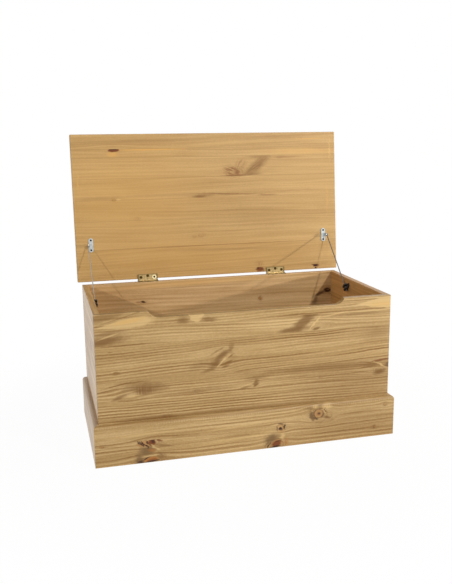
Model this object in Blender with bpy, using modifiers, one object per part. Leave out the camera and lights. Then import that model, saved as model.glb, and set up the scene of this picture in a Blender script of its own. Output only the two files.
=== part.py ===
"""Storage trunk: a pine blanket box with a mitred plinth, a plain lid on two butt hinges and two lid stays.

The trunk stands on Z = 0 with its front towards -Y, and is drawn with its lid open. All sizes are in metres.
"""

import math

import bmesh
import bpy
from mathutils import Matrix, Vector

# Box
BODY_WIDTH = 0.860
BODY_DEPTH = 0.432
BODY_HEIGHT = 0.427
WALL = 0.018
BASE_TOP = 0.040
BASE_THICKNESS = 0.012
BATTEN = 0.018
EASED_EDGE = 0.0012

# Finger grip in the front panel
GRIP_WIDTH = 0.567
GRIP_DEPTH = 0.0185
GRIP_RADIUS = 0.030

# Plinth
PLINTH_HEIGHT = 0.120
PLINTH_THICKNESS = 0.0142
PLINTH_ROUND = 0.009

# Lid
LID_THICKNESS = 0.018
LID_SIDE_OVERHANG = 0.013
LID_FRONT_OVERHANG = 0.033
LID_EDGE_RADIUS = 0.0025
LID_OPEN_ANGLE = math.radians(95.3)

# Butt hinges
HINGE_SPACING = 0.437
HINGE_LENGTH = 0.065
KNUCKLES = 5
LEAF_REACH = 0.020
LEAF_THICKNESS = 0.0012
LEAF_CORNER = 0.0012
PIN_RADIUS = 0.00125
PIN_HEAD_HEIGHT = 0.0009
HINGE_SCREW_SPREAD = 0.022
HINGE_SCREW_NEAR = 0.0098
HINGE_SCREW_STAGGER = 0.0046
HINGE_SCREW_LENGTH = 0.014

# Lid stays
BRACKET_SETBACK = 0.117
BRACKET_LENGTH = 0.045
BRACKET_WIDTH = 0.014
BRACKET_THICKNESS = 0.0015
BRACKET_SCREW_SPREAD = 0.0313
BRACKET_SCREW_LENGTH = 0.013
EAR_WIDTH = 0.011
PIVOT_DROP = 0.013
PIVOT_RADIUS = 0.0013
PIVOT_HEAD_RADIUS = 0.003
PIVOT_HEAD_HEIGHT = 0.001
ROD_RADIUS = 0.0016
EYE_RADIUS = 0.0036
COLLAR_RADIUS = 0.0031
COLLAR_LENGTH = 0.003
ROD_TAIL = 0.004
GUIDE_SETBACK = 0.145
GUIDE_DROP = 0.028
GUIDE_HEIGHT = 0.020
GUIDE_WEB = 0.002
GUIDE_CHEEK = 0.004
GUIDE_LIP = 0.005
GUIDE_CORNER = 0.004
GUIDE_PLATE_WIDTH = 0.012
GUIDE_PLATE_THICKNESS = 0.0025
GUIDE_SCREW_LENGTH = 0.015
RIVET_RADIUS = 0.002
RIVET_HEAD_RADIUS = 0.0038
RIVET_HEAD_HEIGHT = 0.0008

# Screws
SCREW_HEAD_RADIUS = 0.0032
SCREW_SHANK_RADIUS = 0.0016
SCREW_TIP = 0.003
SCREW_DOME = 0.0018

# Clearances
FIT_GAP = 0.0003
LEAF_CLEARANCE = 0.0004
KNUCKLE_CLEARANCE = 0.0004
KNUCKLE_TO_EDGE = 0.002
PIN_CLEARANCE = 0.00015
SLIDE_CLEARANCE = 0.0002
SCREW_CLEARANCE = 0.0003
HEAD_SINK = 0.0001
CUT_MARGIN = 0.002

# Facets
ARC_STEPS = 8
DOME_STEPS = 4
CORNER_STEPS = 3
ROUND_STEPS = 12
FINE_STEPS = 20
SHARP_ANGLE = math.radians(30)
FLAT_ANGLE = math.radians(1)
MERGE_DISTANCE = 0.000005

# Places that follow from the sizes
HALF_WIDTH = BODY_WIDTH / 2
INNER_HALF_WIDTH = HALF_WIDTH - WALL
INNER_BACK = BODY_DEPTH - WALL
PLINTH_PROJECTION = FIT_GAP + PLINTH_THICKNESS
KNUCKLE_RADIUS = PIN_RADIUS + PIN_CLEARANCE + LEAF_THICKNESS
PIN_OFFSET = KNUCKLE_RADIUS + KNUCKLE_TO_EDGE
HALF_LID_GAP = FIT_GAP + LEAF_THICKNESS + LEAF_CLEARANCE / 2
HINGE_LINE = Vector((0, BODY_DEPTH + PIN_OFFSET, BODY_HEIGHT + HALF_LID_GAP))
LID_HALF_WIDTH = HALF_WIDTH + LID_SIDE_OVERHANG
LID_DEPTH = BODY_DEPTH + LID_FRONT_OVERHANG
LID_TURN = Matrix.Rotation(-LID_OPEN_ANGLE, 4, "X")
GUIDE_BACK_GAP = FIT_GAP + GUIDE_PLATE_THICKNESS + FIT_GAP
ROD_TO_WEB = ROD_RADIUS + FIT_GAP + RIVET_HEAD_HEIGHT + FIT_GAP
ROD_INSET = GUIDE_BACK_GAP + GUIDE_WEB + ROD_TO_WEB
GUIDE_POINT = Vector((0, INNER_BACK - GUIDE_SETBACK, BODY_HEIGHT - GUIDE_DROP))
HALF_CHANNEL = RIVET_HEAD_RADIUS + FIT_GAP
GUIDE_LENGTH = 2 * (HALF_CHANNEL + GUIDE_CHEEK)
GUIDE_SCREW_OFFSET = GUIDE_LENGTH / 2 + FIT_GAP + SCREW_HEAD_RADIUS
UPRIGHT = math.radians(90)


def clear_scene():
    for obj in list(bpy.data.objects):
        bpy.data.objects.remove(obj)


def new_collection(name):
    collection = bpy.data.collections.new(name)
    bpy.context.scene.collection.children.link(collection)
    return collection


def new_material(name, colour, roughness, metallic=0.0):
    material = bpy.data.materials.new(name)
    material.use_nodes = True
    shader = material.node_tree.nodes["Principled BSDF"]
    shader.inputs["Base Color"].default_value = (*colour, 1)
    shader.inputs["Roughness"].default_value = roughness
    shader.inputs["Metallic"].default_value = metallic
    return material


clear_scene()
PARTS = new_collection("storage_trunk")
CUTTERS = new_collection("cutters")

PINE_FRONT = new_material("pine_front", (0.46, 0.29, 0.14), 0.55)
PINE_SIDE = new_material("pine_side", (0.42, 0.26, 0.12), 0.55)
PINE_BACK = new_material("pine_back", (0.40, 0.24, 0.11), 0.6)
PINE_BASE = new_material("pine_base", (0.50, 0.36, 0.20), 0.65)
PINE_PLINTH = new_material("pine_plinth", (0.48, 0.31, 0.15), 0.55)
PINE_LID = new_material("pine_lid", (0.54, 0.33, 0.13), 0.5)
BRASS = new_material("hinge_brass", (0.62, 0.45, 0.17), 0.35, 1.0)
ZINC = new_material("bracket_zinc", (0.78, 0.79, 0.80), 0.3, 1.0)
ROD_STEEL = new_material("rod_steel", (0.52, 0.50, 0.47), 0.35, 1.0)
BLACK_STEEL = new_material("black_steel", (0.03, 0.03, 0.03), 0.45, 0.6)
GUIDE_PLASTIC = new_material("guide_plastic", (0.03, 0.025, 0.02), 0.5)


def new_empty(name, parent=None, location=(0, 0, 0), turn=0.0):
    """An empty that carries pieces, turned by an angle about X."""
    empty = bpy.data.objects.new(name, None)
    PARTS.objects.link(empty)
    empty.parent = parent
    empty.location = location
    empty.rotation_euler.x = turn
    return empty


def add_piece(name, mesh, parent, location, rotation=(0, 0, 0), material=None):
    """A piece of the trunk, or a cutter where no material is given."""
    obj = bpy.data.objects.new(name, mesh)
    obj.parent = parent
    obj.location = location
    obj.rotation_euler = rotation
    if material:
        if not mesh.materials:
            mesh.materials.append(material)
        PARTS.objects.link(obj)
    else:
        obj.hide_render = True
        obj.display_type = "WIRE"
        CUTTERS.objects.link(obj)
    return obj


def mesh_from(bm, name):
    """A mesh whose round faces are shaded smooth and whose flat ones aren't."""
    for edge in bm.edges:
        edge.smooth = edge.calc_face_angle(math.pi) < SHARP_ANGLE
    for face in bm.faces:
        face.smooth = any(edge.smooth for edge in face.edges)
    mesh = bpy.data.meshes.new(name)
    bm.to_mesh(mesh)
    bm.free()
    return mesh


def converted(drawing):
    """What an object's curve or modifiers make, as a mesh to edit. The object goes."""
    CUTTERS.objects.link(drawing)
    graph = bpy.context.evaluated_depsgraph_get()
    mesh = bpy.data.meshes.new_from_object(drawing.evaluated_get(graph))
    bm = bmesh.new()
    bm.from_mesh(mesh)
    drawn_from = drawing.data
    bpy.data.objects.remove(drawing)
    bpy.data.batch_remove([mesh, drawn_from])
    return bm


def add_box(name, low, high, parent, material=None, rotation=(0, 0, 0)):
    """A box between two corners of its parent's frame, with its origin at its centre."""
    size = Vector(high) - Vector(low)
    bm = bmesh.new()
    bmesh.ops.create_cube(bm, size=1.0, matrix=Matrix.Diagonal((*size, 1)))
    centre = (Vector(high) + Vector(low)) / 2
    return add_piece(name, mesh_from(bm, name), parent, centre, rotation, material)


def add_cylinder(name, radius, length, parent, location, rotation=(0, 0, 0)):
    """A helper cylinder along its own Z, centred on its origin."""
    bm = bmesh.new()
    bmesh.ops.create_cone(
        bm, cap_ends=True, segments=FINE_STEPS, radius1=radius, radius2=radius, depth=length
    )
    return add_piece(name, mesh_from(bm, name), parent, location, rotation)


def turned(name, profile):
    """A mesh turned about Z. The profile is (radius, height) from top to bottom."""
    bm = bmesh.new()
    points = [bm.verts.new((radius, 0, height)) for radius, height in profile]
    for above, below in zip(points, points[1:]):
        bm.edges.new((above, below))
    drawing = bpy.data.objects.new(name, mesh_from(bm, name))
    screw = drawing.modifiers.new("Turned", "SCREW")
    screw.steps = ROUND_STEPS
    screw.render_steps = ROUND_STEPS
    screw.use_merge_vertices = True
    screw.merge_threshold = MERGE_DISTANCE
    return mesh_from(converted(drawing), name)


def add_flat(name, outline, thickness, parent, location, rotation=(0, 0, 0), material=None):
    """A flat piece with the given outline in its own XY plane, centred on it in thickness."""
    curve = bpy.data.curves.new(name, "CURVE")
    curve.dimensions = "2D"
    curve.fill_mode = "BOTH"
    curve.extrude = thickness / 2
    spline = curve.splines.new("POLY")
    spline.points.add(len(outline) - 1)
    for point, (x, y) in zip(spline.points, outline):
        point.co = (x, y, 0, 1)
    spline.use_cyclic_u = True
    bm = converted(bpy.data.objects.new(name, curve))
    bmesh.ops.remove_doubles(bm, verts=bm.verts, dist=MERGE_DISTANCE)
    bmesh.ops.dissolve_limit(bm, angle_limit=FLAT_ANGLE, verts=bm.verts, edges=bm.edges)
    bmesh.ops.recalc_face_normals(bm, faces=bm.faces)
    return add_piece(name, mesh_from(bm, name), parent, location, rotation, material)


def arc(centre, radius, start, end, steps=ARC_STEPS):
    """Points on a circle from one angle to another, in degrees from +X."""
    angles = [math.radians(start + (end - start) * i / steps) for i in range(steps + 1)]
    return [(centre[0] + radius * math.cos(a), centre[1] + radius * math.sin(a)) for a in angles]


def dome(radius, height):
    """Half the profile of a domed head, from its top down to its rim at height 0."""
    sphere = (radius**2 + height**2) / (2 * height)
    rim = math.degrees(math.asin((sphere - height) / sphere))
    return [(0, height)] + arc((0, height - sphere), sphere, 90, rim, DOME_STEPS)[1:]


def stadium(width, length):
    """A plate outline with round ends, long in Y."""
    straight = (length - width) / 2
    return arc((0, straight), width / 2, 0, 180) + arc((0, -straight), width / 2, 180, 360)


def round_edges(obj, radius, segments):
    bevel = obj.modifiers.new("Rounded edges", "BEVEL")
    bevel.width = radius
    bevel.segments = segments
    bevel.limit_method = "ANGLE"
    bevel.angle_limit = SHARP_ANGLE


def combine(obj, operation, others):
    for other in others:
        boolean = obj.modifiers.new(other.name, "BOOLEAN")
        boolean.operation = operation
        boolean.solver = "EXACT"
        boolean.object = other


def lid_extent_back():
    """How far the open lid reaches behind the box's front face, its rounded edges included."""
    near = -PIN_OFFSET - LID_EDGE_RADIUS
    far = -PIN_OFFSET - LID_DEPTH + LID_EDGE_RADIUS
    low = HALF_LID_GAP + LID_EDGE_RADIUS
    high = HALF_LID_GAP + LID_THICKNESS - LID_EDGE_RADIUS
    corners = [LID_TURN @ Vector((0, y, z)) for y in (near, far) for z in (low, high)]
    return HINGE_LINE.y + max(corner.y for corner in corners) + LID_EDGE_RADIUS


# The frames that the pieces hang on

BODY_SHIFT = (PLINTH_PROJECTION - lid_extent_back()) / 2
TRUNK = new_empty("trunk", location=(0, BODY_SHIFT, 0))
RIM_HINGE_LINE = new_empty("rim_hinge_line", TRUNK, HINGE_LINE)
LID_HINGE_LINE = new_empty("lid_hinge_line", TRUNK, HINGE_LINE, -LID_OPEN_ANGLE)


# Screws


def countersunk(length):
    """A countersunk screw, its head's top at Z = 0 and its point down."""
    radius, shank = SCREW_HEAD_RADIUS, SCREW_SHANK_RADIUS
    return [(0, 0), (radius, 0), (shank, shank - radius), (shank, SCREW_TIP - length), (0, -length)]


def countersunk_hole(length):
    radius, shank = SCREW_HEAD_RADIUS + SCREW_CLEARANCE, SCREW_SHANK_RADIUS + SCREW_CLEARANCE
    end = -length - SCREW_CLEARANCE
    sink = [(0, CUT_MARGIN), (radius, CUT_MARGIN), (radius, 0)]
    return sink + [(shank, shank - radius), (shank, end), (0, end)]


def round_head(length):
    """A round-headed screw, the underside of its head at Z = 0 and its point down."""
    shank = SCREW_SHANK_RADIUS
    return dome(SCREW_HEAD_RADIUS, SCREW_DOME) + [(shank, 0), (shank, SCREW_TIP - length), (0, -length)]


def plain_hole(length):
    radius = SCREW_SHANK_RADIUS + SCREW_CLEARANCE
    end = -length - SCREW_CLEARANCE
    return [(0, CUT_MARGIN), (radius, CUT_MARGIN), (radius, end), (0, end)]


def headed_pin(head_radius, head_height, radius, end):
    """A pin with a domed head on each end, the heads' undersides at Z = end and Z = -end."""
    top = [(r, end + z) for r, z in dome(head_radius, head_height)] + [(radius, end)]
    return top + [(r, -z) for r, z in reversed(top)]


HINGE_SCREW = turned("hinge_screw", countersunk(HINGE_SCREW_LENGTH))
HINGE_SCREW_HOLE = turned("hinge_screw_hole", countersunk_hole(HINGE_SCREW_LENGTH))
BRACKET_SCREW = turned("bracket_screw", round_head(BRACKET_SCREW_LENGTH))
BRACKET_SCREW_HOLE = turned("bracket_screw_hole", plain_hole(BRACKET_SCREW_LENGTH))
GUIDE_SCREW = turned("guide_screw", countersunk(GUIDE_SCREW_LENGTH))
GUIDE_SCREW_HOLE = turned("guide_screw_hole", countersunk_hole(GUIDE_SCREW_LENGTH))


# The box


def add_front_panel():
    half = GRIP_WIDTH / 2
    turn = math.degrees(math.acos(1 - GRIP_DEPTH / GRIP_RADIUS))
    run = GRIP_RADIUS * math.sin(math.radians(turn))
    middle = BODY_HEIGHT - GRIP_DEPTH + GRIP_RADIUS
    right_end = arc((half - run, middle), GRIP_RADIUS, turn - 90, -90)
    left_end = arc((run - half, middle), GRIP_RADIUS, -90, -90 - turn)
    outline = [(-HALF_WIDTH, 0), (HALF_WIDTH, 0), (HALF_WIDTH, BODY_HEIGHT)]
    outline += right_end + left_end + [(-HALF_WIDTH, BODY_HEIGHT)]
    panel = add_flat("front_panel", outline, WALL, TRUNK, (0, WALL / 2, 0), (UPRIGHT, 0, 0), PINE_FRONT)
    round_edges(panel, EASED_EDGE, 2)


def add_back_panel(holes):
    low = (-HALF_WIDTH, INNER_BACK, 0)
    panel = add_box("back_panel", low, (HALF_WIDTH, BODY_DEPTH, BODY_HEIGHT), TRUNK, PINE_BACK)
    round_edges(panel, EASED_EDGE, 2)
    combine(panel, "DIFFERENCE", holes)


def add_side_panel(name, side, holes):
    outer, inner = side * HALF_WIDTH, side * INNER_HALF_WIDTH
    low = (min(outer, inner), WALL + FIT_GAP, 0)
    high = (max(outer, inner), INNER_BACK - FIT_GAP, BODY_HEIGHT)
    panel = add_box(name, low, high, TRUNK, PINE_SIDE)
    round_edges(panel, EASED_EDGE, 2)
    combine(panel, "DIFFERENCE", holes)


def add_base():
    """The base panel, and the battens round the walls that it lies on."""
    x, front, back = INNER_HALF_WIDTH - FIT_GAP, WALL + FIT_GAP, INNER_BACK - FIT_GAP
    underside = BASE_TOP - BASE_THICKNESS
    add_box("base_panel", (-x, front, underside), (x, back, BASE_TOP), TRUNK, PINE_BASE)
    top = underside - FIT_GAP
    foot = top - BATTEN
    add_box("base_batten_front", (-x, front, foot), (x, front + BATTEN, top), TRUNK, PINE_BASE)
    add_box("base_batten_back", (-x, back - BATTEN, foot), (x, back, top), TRUNK, PINE_BASE)
    near, far = front + BATTEN + FIT_GAP, back - BATTEN - FIT_GAP
    add_box("base_batten_left", (-x, near, foot), (BATTEN - x, far, top), TRUNK, PINE_BASE)
    add_box("base_batten_right", (x - BATTEN, near, foot), (x, far, top), TRUNK, PINE_BASE)


def add_mitre(name, side, keeps_front):
    """A cutter that takes off what lies past the mitre of a front corner."""
    reach = 4 * PLINTH_THICKNESS
    away = (reach - FIT_GAP) / 2 * (1 if keeps_front else -1) / math.sqrt(2)
    half = Vector((reach / 2, reach / 2, PLINTH_HEIGHT))
    cutter = add_box(name, -half, half, TRUNK, rotation=(0, 0, side * UPRIGHT / 2))
    cutter.location = (side * (HALF_WIDTH + away), away, PLINTH_HEIGHT / 2)
    return cutter


def add_plinth_board(name, length, facing, location, mitres):
    """A plinth board whose outer face looks along X turned by an angle about Z, with its top edge rounded."""
    centre = (PLINTH_THICKNESS - PLINTH_ROUND, PLINTH_HEIGHT - PLINTH_ROUND)
    section = [(0, 0), (PLINTH_THICKNESS, 0)] + arc(centre, PLINTH_ROUND, 0, 90) + [(0, PLINTH_HEIGHT)]
    board = add_flat(name, section, length, TRUNK, location, (UPRIGHT, 0, facing), PINE_PLINTH)
    combine(board, "DIFFERENCE", mitres)


def add_plinth():
    across = 2 * (HALF_WIDTH + PLINTH_PROJECTION)
    along = BODY_DEPTH + PLINTH_PROJECTION
    middle = (BODY_DEPTH - PLINTH_PROJECTION) / 2
    front_mitres = [add_mitre("mitre_front_" + n, s, True) for n, s in (("left", -1), ("right", 1))]
    add_plinth_board("plinth_front", across, -UPRIGHT, (0, -FIT_GAP, 0), front_mitres)
    left = [add_mitre("mitre_left", -1, False)]
    add_plinth_board("plinth_left", along, 2 * UPRIGHT, (-HALF_WIDTH - FIT_GAP, middle, 0), left)
    right = [add_mitre("mitre_right", 1, False)]
    add_plinth_board("plinth_right", along, 0, (HALF_WIDTH + FIT_GAP, middle, 0), right)


# The lid and its hinges


def add_lid_panel(holes):
    low = (-LID_HALF_WIDTH, -PIN_OFFSET - LID_DEPTH, HALF_LID_GAP)
    high = (LID_HALF_WIDTH, -PIN_OFFSET, HALF_LID_GAP + LID_THICKNESS)
    panel = add_box("lid_panel", low, high, LID_HINGE_LINE, PINE_LID)
    round_edges(panel, LID_EDGE_RADIUS, 3)
    combine(panel, "DIFFERENCE", holes)


def knuckle_places(first):
    """Every other knuckle's place along the hinge, from the given one."""
    pitch = HINGE_LENGTH / KNUCKLES
    return [(i + 0.5) * pitch - HINGE_LENGTH / 2 for i in range(first, KNUCKLES, 2)]


def add_leaf(name, middle, line, up, others, holes):
    """A hinge leaf on the rim (up = -1) or on the lid (up = 1), notched for the other leaf's knuckles."""
    along = (0, UPRIGHT, 0)
    half = HINGE_LENGTH / 2
    corner = LEAF_CORNER - LEAF_REACH
    outline = [(half, 0), (-half, 0)]
    outline += arc((LEAF_CORNER - half, corner), LEAF_CORNER, 180, 270, CORNER_STEPS)
    outline += arc((half - LEAF_CORNER, corner), LEAF_CORNER, 270, 360, CORNER_STEPS)
    height = up * (HALF_LID_GAP - FIT_GAP - LEAF_THICKNESS / 2)
    leaf = add_flat(name, outline, LEAF_THICKNESS, line, (middle, 0, height), material=BRASS)
    barrel = add_cylinder(name + "_barrel", KNUCKLE_RADIUS, HINGE_LENGTH, line, (middle, 0, 0), along)
    combine(leaf, "UNION", [barrel])
    notch_radius = KNUCKLE_RADIUS + KNUCKLE_CLEARANCE
    notch_length = HINGE_LENGTH / KNUCKLES + FIT_GAP
    notches = [
        add_cylinder(f"{name}_notch_{i}", notch_radius, notch_length, line, (middle + x, 0, 0), along)
        for i, x in enumerate(others)
    ]
    bore_radius = PIN_RADIUS + PIN_CLEARANCE
    bore = add_cylinder(name + "_bore", bore_radius, HINGE_LENGTH + CUT_MARGIN, line, (middle, 0, 0), along)
    combine(leaf, "DIFFERENCE", notches + [bore] + holes)


def add_leaf_screws(name, middle, line, up):
    """Three staggered screws through a leaf, the middle one further from the pin."""
    face = up * (LEAF_CLEARANCE / 2 + HEAD_SINK)
    turn = (2 * UPRIGHT, 0, 0) if up > 0 else (0, 0, 0)
    holes = []
    for i, across in enumerate((-1, 0, 1)):
        stagger = HINGE_SCREW_STAGGER if across == 0 else 0
        place = (middle + across * HINGE_SCREW_SPREAD, -HINGE_SCREW_NEAR - stagger, face)
        screw = add_piece(f"{name}_{i + 1}", HINGE_SCREW, line, place, turn, BRASS)
        holes.append(add_piece(screw.name + "_hole", HINGE_SCREW_HOLE, line, place, turn))
    return holes


def add_pin(name, middle):
    """A hinge pin with a domed head at each end."""
    head = PIN_RADIUS + PIN_CLEARANCE + FIT_GAP
    pin = turned(name, headed_pin(head, PIN_HEAD_HEIGHT, PIN_RADIUS, HINGE_LENGTH / 2 + FIT_GAP))
    add_piece(name, pin, RIM_HINGE_LINE, (middle, 0, 0), (0, UPRIGHT, 0), BRASS)


def add_hinge(side_name, side):
    """One butt hinge. The holes for the rim and for the lid are returned."""
    middle = side * HINGE_SPACING / 2
    name = side_name + "_hinge"
    rim_holes = add_leaf_screws(name + "_rim_screw", middle, RIM_HINGE_LINE, -1)
    lid_holes = add_leaf_screws(name + "_lid_screw", middle, LID_HINGE_LINE, 1)
    add_leaf(name + "_rim_leaf", middle, RIM_HINGE_LINE, -1, knuckle_places(1), rim_holes)
    add_leaf(name + "_lid_leaf", middle, LID_HINGE_LINE, 1, knuckle_places(0), lid_holes)
    add_pin(name + "_pin", middle)
    return rim_holes, lid_holes


# The lid stays


def add_bracket_screws(name, seat):
    """The two screws through the bracket's plate, their heads on its face."""
    turn = (2 * UPRIGHT, 0, 0)
    holes = []
    for i, along in enumerate((-1, 1)):
        place = seat + Vector((0, along * BRACKET_SCREW_SPREAD / 2, 0))
        screw_name = f"{name}_bracket_screw_{i + 1}"
        add_piece(screw_name, BRACKET_SCREW, LID_HINGE_LINE, place, turn, BLACK_STEEL)
        holes.append(add_piece(screw_name + "_hole", BRACKET_SCREW_HOLE, LID_HINGE_LINE, place, turn))
    return holes


def add_bracket(name, side, pivot):
    """The plate under the lid with its ear and the pin on it. The holes for the lid are returned."""
    outer = pivot.x - side * (ROD_RADIUS + FIT_GAP)
    middle = outer - side * BRACKET_WIDTH / 2
    top = HALF_LID_GAP - FIT_GAP
    seat = Vector((middle, pivot.y, top - BRACKET_THICKNESS - FIT_GAP))
    holes = add_bracket_screws(name, seat)
    outline = stadium(BRACKET_WIDTH, BRACKET_LENGTH)
    place = (middle, pivot.y, top - BRACKET_THICKNESS / 2)
    plate = add_flat(name + "_bracket", outline, BRACKET_THICKNESS, LID_HINGE_LINE, place, material=ZINC)
    half = EAR_WIDTH / 2
    outline = [(half, top - pivot.z), (-half, top - pivot.z)] + arc((0, 0), half, 180, 360)
    place = (outer - side * BRACKET_THICKNESS / 2, pivot.y, pivot.z)
    turn = (UPRIGHT, 0, UPRIGHT)
    ear = add_flat(name + "_ear", outline, BRACKET_THICKNESS, LID_HINGE_LINE, place, turn)
    combine(plate, "UNION", [ear])
    across = (0, UPRIGHT, 0)
    hole_radius = PIVOT_RADIUS + PIN_CLEARANCE
    ear_hole = add_cylinder(
        name + "_ear_hole", hole_radius, 2 * BRACKET_THICKNESS, LID_HINGE_LINE, place, across
    )
    combine(plate, "DIFFERENCE", holes + [ear_hole])
    reach = BRACKET_THICKNESS / 2 + FIT_GAP / 2 + ROD_RADIUS
    profile = headed_pin(PIVOT_HEAD_RADIUS, PIVOT_HEAD_HEIGHT, PIVOT_RADIUS, reach + FIT_GAP)
    pin_name = name + "_pivot_pin"
    place = (pivot.x + side * (ROD_RADIUS - reach), pivot.y, pivot.z)
    add_piece(pin_name, turned(pin_name, profile), LID_HINGE_LINE, place, across, ROD_STEEL)
    return holes


def add_rod(name, line, reach):
    """The rod, hanging from its eye along -Z: its stop collar meets the guide when the lid is fully open."""
    stop = -reach - GUIDE_LENGTH / 2 - FIT_GAP
    heel = stop - COLLAR_LENGTH
    profile = [
        (0, -EYE_RADIUS),
        (ROD_RADIUS, -EYE_RADIUS),
        (ROD_RADIUS, stop),
        (COLLAR_RADIUS, stop),
        (COLLAR_RADIUS, heel),
        (ROD_RADIUS, heel),
        (ROD_RADIUS, heel - ROD_TAIL),
        (0, heel - ROD_TAIL),
    ]
    rod_name = name + "_rod"
    rod = add_piece(rod_name, turned(rod_name, profile), line, (0, 0, 0), material=ROD_STEEL)
    bpy.ops.mesh.primitive_torus_add(
        major_radius=EYE_RADIUS,
        minor_radius=ROD_RADIUS,
        major_segments=FINE_STEPS,
        minor_segments=ROUND_STEPS,
    )
    ring = bpy.context.object
    ring.data.shade_smooth()
    eye = add_piece(name + "_eye", ring.data, line, (0, 0, 0), (0, UPRIGHT, 0))
    bpy.data.objects.remove(ring)
    combine(rod, "UNION", [eye])


def add_guide(name, side, line):
    """The block that the rod slides through: a web against the guide plate and two bored cheeks."""
    back = ROD_TO_WEB + GUIDE_WEB
    front = -ROD_RADIUS - SLIDE_CLEARANCE - GUIDE_LIP
    half = GUIDE_HEIGHT / 2
    corner = front + GUIDE_CORNER
    outline = [(back, -half), (back, half)]
    outline += arc((corner, half - GUIDE_CORNER), GUIDE_CORNER, 90, 180)
    outline += arc((corner, GUIDE_CORNER - half), GUIDE_CORNER, 180, 270)
    outline = [(side * x, y) for x, y in outline]
    block = add_flat(name + "_guide", outline, GUIDE_LENGTH, line, (0, 0, 0), material=GUIDE_PLASTIC)
    ends = sorted((side * (front - CUT_MARGIN), side * ROD_TO_WEB))
    low = (ends[0], -half - CUT_MARGIN, -HALF_CHANNEL)
    high = (ends[1], half + CUT_MARGIN, HALF_CHANNEL)
    channel = add_box(name + "_guide_channel", low, high, line)
    bore_radius = ROD_RADIUS + SLIDE_CLEARANCE
    bore = add_cylinder(name + "_guide_bore", bore_radius, GUIDE_LENGTH + CUT_MARGIN, line, (0, 0, 0))
    under_head = side * (ROD_TO_WEB - FIT_GAP)
    shank = FIT_GAP + GUIDE_WEB
    head = RIVET_HEAD_HEIGHT
    profile = [(0, head), (RIVET_HEAD_RADIUS, head), (RIVET_HEAD_RADIUS, 0), (RIVET_RADIUS, 0)]
    profile += [(RIVET_RADIUS, -shank), (0, -shank)]
    rivet_name, turn = name + "_guide_rivet", (0, -side * UPRIGHT, 0)
    add_piece(rivet_name, turned(rivet_name, profile), line, (under_head, 0, 0), turn, BLACK_STEEL)
    hole_radius = RIVET_RADIUS + SLIDE_CLEARANCE
    hole = add_cylinder(
        name + "_rivet_hole", hole_radius, 2 * GUIDE_WEB, line, (side * back, 0, 0), (0, UPRIGHT, 0)
    )
    combine(block, "DIFFERENCE", [channel, bore, hole])


def add_guide_plate(name, side, seat):
    """The plate on the side panel that the guide turns against. The holes for the panel are returned."""
    wall = side * ROD_INSET
    middle = wall - side * (FIT_GAP + GUIDE_PLATE_THICKNESS / 2)
    face = wall - side * (FIT_GAP + GUIDE_PLATE_THICKNESS - HEAD_SINK)
    turn = (0, -side * UPRIGHT, 0)
    holes = []
    for i, along in enumerate((-1, 1)):
        place = (face, along * GUIDE_SCREW_OFFSET, 0)
        screw = add_piece(f"{name}_guide_screw_{i + 1}", GUIDE_SCREW, seat, place, turn, BLACK_STEEL)
        holes.append(add_piece(screw.name + "_hole", GUIDE_SCREW_HOLE, seat, place, turn))
    outline = stadium(GUIDE_PLATE_WIDTH, 2 * GUIDE_SCREW_OFFSET + GUIDE_PLATE_WIDTH)
    plate_name = name + "_guide_plate"
    plate = add_flat(plate_name, outline, GUIDE_PLATE_THICKNESS, seat, (middle, 0, 0), turn, GUIDE_PLASTIC)
    combine(plate, "DIFFERENCE", holes)
    return holes


def add_stay(side_name, side):
    """One lid stay. The holes for the lid and for the side panel are returned."""
    name = side_name + "_stay"
    rod_x = side * (INNER_HALF_WIDTH - ROD_INSET)
    pivot = Vector((rod_x, -PIN_OFFSET - BRACKET_SETBACK, HALF_LID_GAP - PIVOT_DROP))
    guide = GUIDE_POINT + Vector((rod_x, 0, 0))
    span = HINGE_LINE + LID_TURN @ pivot - guide
    lean = -math.atan2(span.y, span.z)
    reach = math.hypot(span.y, span.z)
    rod_line = new_empty(name + "_rod_pivot", LID_HINGE_LINE, pivot, lean + LID_OPEN_ANGLE)
    guide_line = new_empty(name + "_guide_place", rod_line, (0, 0, -reach))
    guide_seat = new_empty(name + "_guide_seat", TRUNK, guide, lean)
    lid_holes = add_bracket(name, side, pivot)
    add_rod(name, rod_line, reach)
    add_guide(name, side, guide_line)
    return lid_holes, add_guide_plate(name, side, guide_seat)


left_rim_holes, left_lid_holes = add_hinge("left", -1)
right_rim_holes, right_lid_holes = add_hinge("right", 1)
left_bracket_holes, left_wall_holes = add_stay("left", -1)
right_bracket_holes, right_wall_holes = add_stay("right", 1)

add_front_panel()
add_back_panel(left_rim_holes + right_rim_holes)
add_side_panel("left_side_panel", -1, left_wall_holes)
add_side_panel("right_side_panel", 1, right_wall_holes)
add_base()
add_plinth()
add_lid_panel(left_lid_holes + right_lid_holes + left_bracket_holes + right_bracket_holes)
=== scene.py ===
import collections
import functools
import math

import bpy
from mathutils import Matrix, Vector


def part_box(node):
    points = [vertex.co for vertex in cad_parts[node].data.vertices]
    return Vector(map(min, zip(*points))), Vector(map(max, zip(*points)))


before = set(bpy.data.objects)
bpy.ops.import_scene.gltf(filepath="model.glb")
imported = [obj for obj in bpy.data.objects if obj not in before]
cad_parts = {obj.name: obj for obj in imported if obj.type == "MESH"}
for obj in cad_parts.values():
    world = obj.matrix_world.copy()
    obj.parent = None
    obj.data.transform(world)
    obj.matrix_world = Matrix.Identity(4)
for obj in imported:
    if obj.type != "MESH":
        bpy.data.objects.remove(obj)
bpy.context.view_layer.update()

bl_info = {
    "name": "Pine Storage Trunk",
    "version": (1, 0, 0),
    "blender": (4, 5, 0),
    "location": "View3D > Sidebar > Trunk",
    "description": "Waxed pine boards, brass hinges and steel lid stays for an open storage trunk",
    "category": "Object",
}


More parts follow.
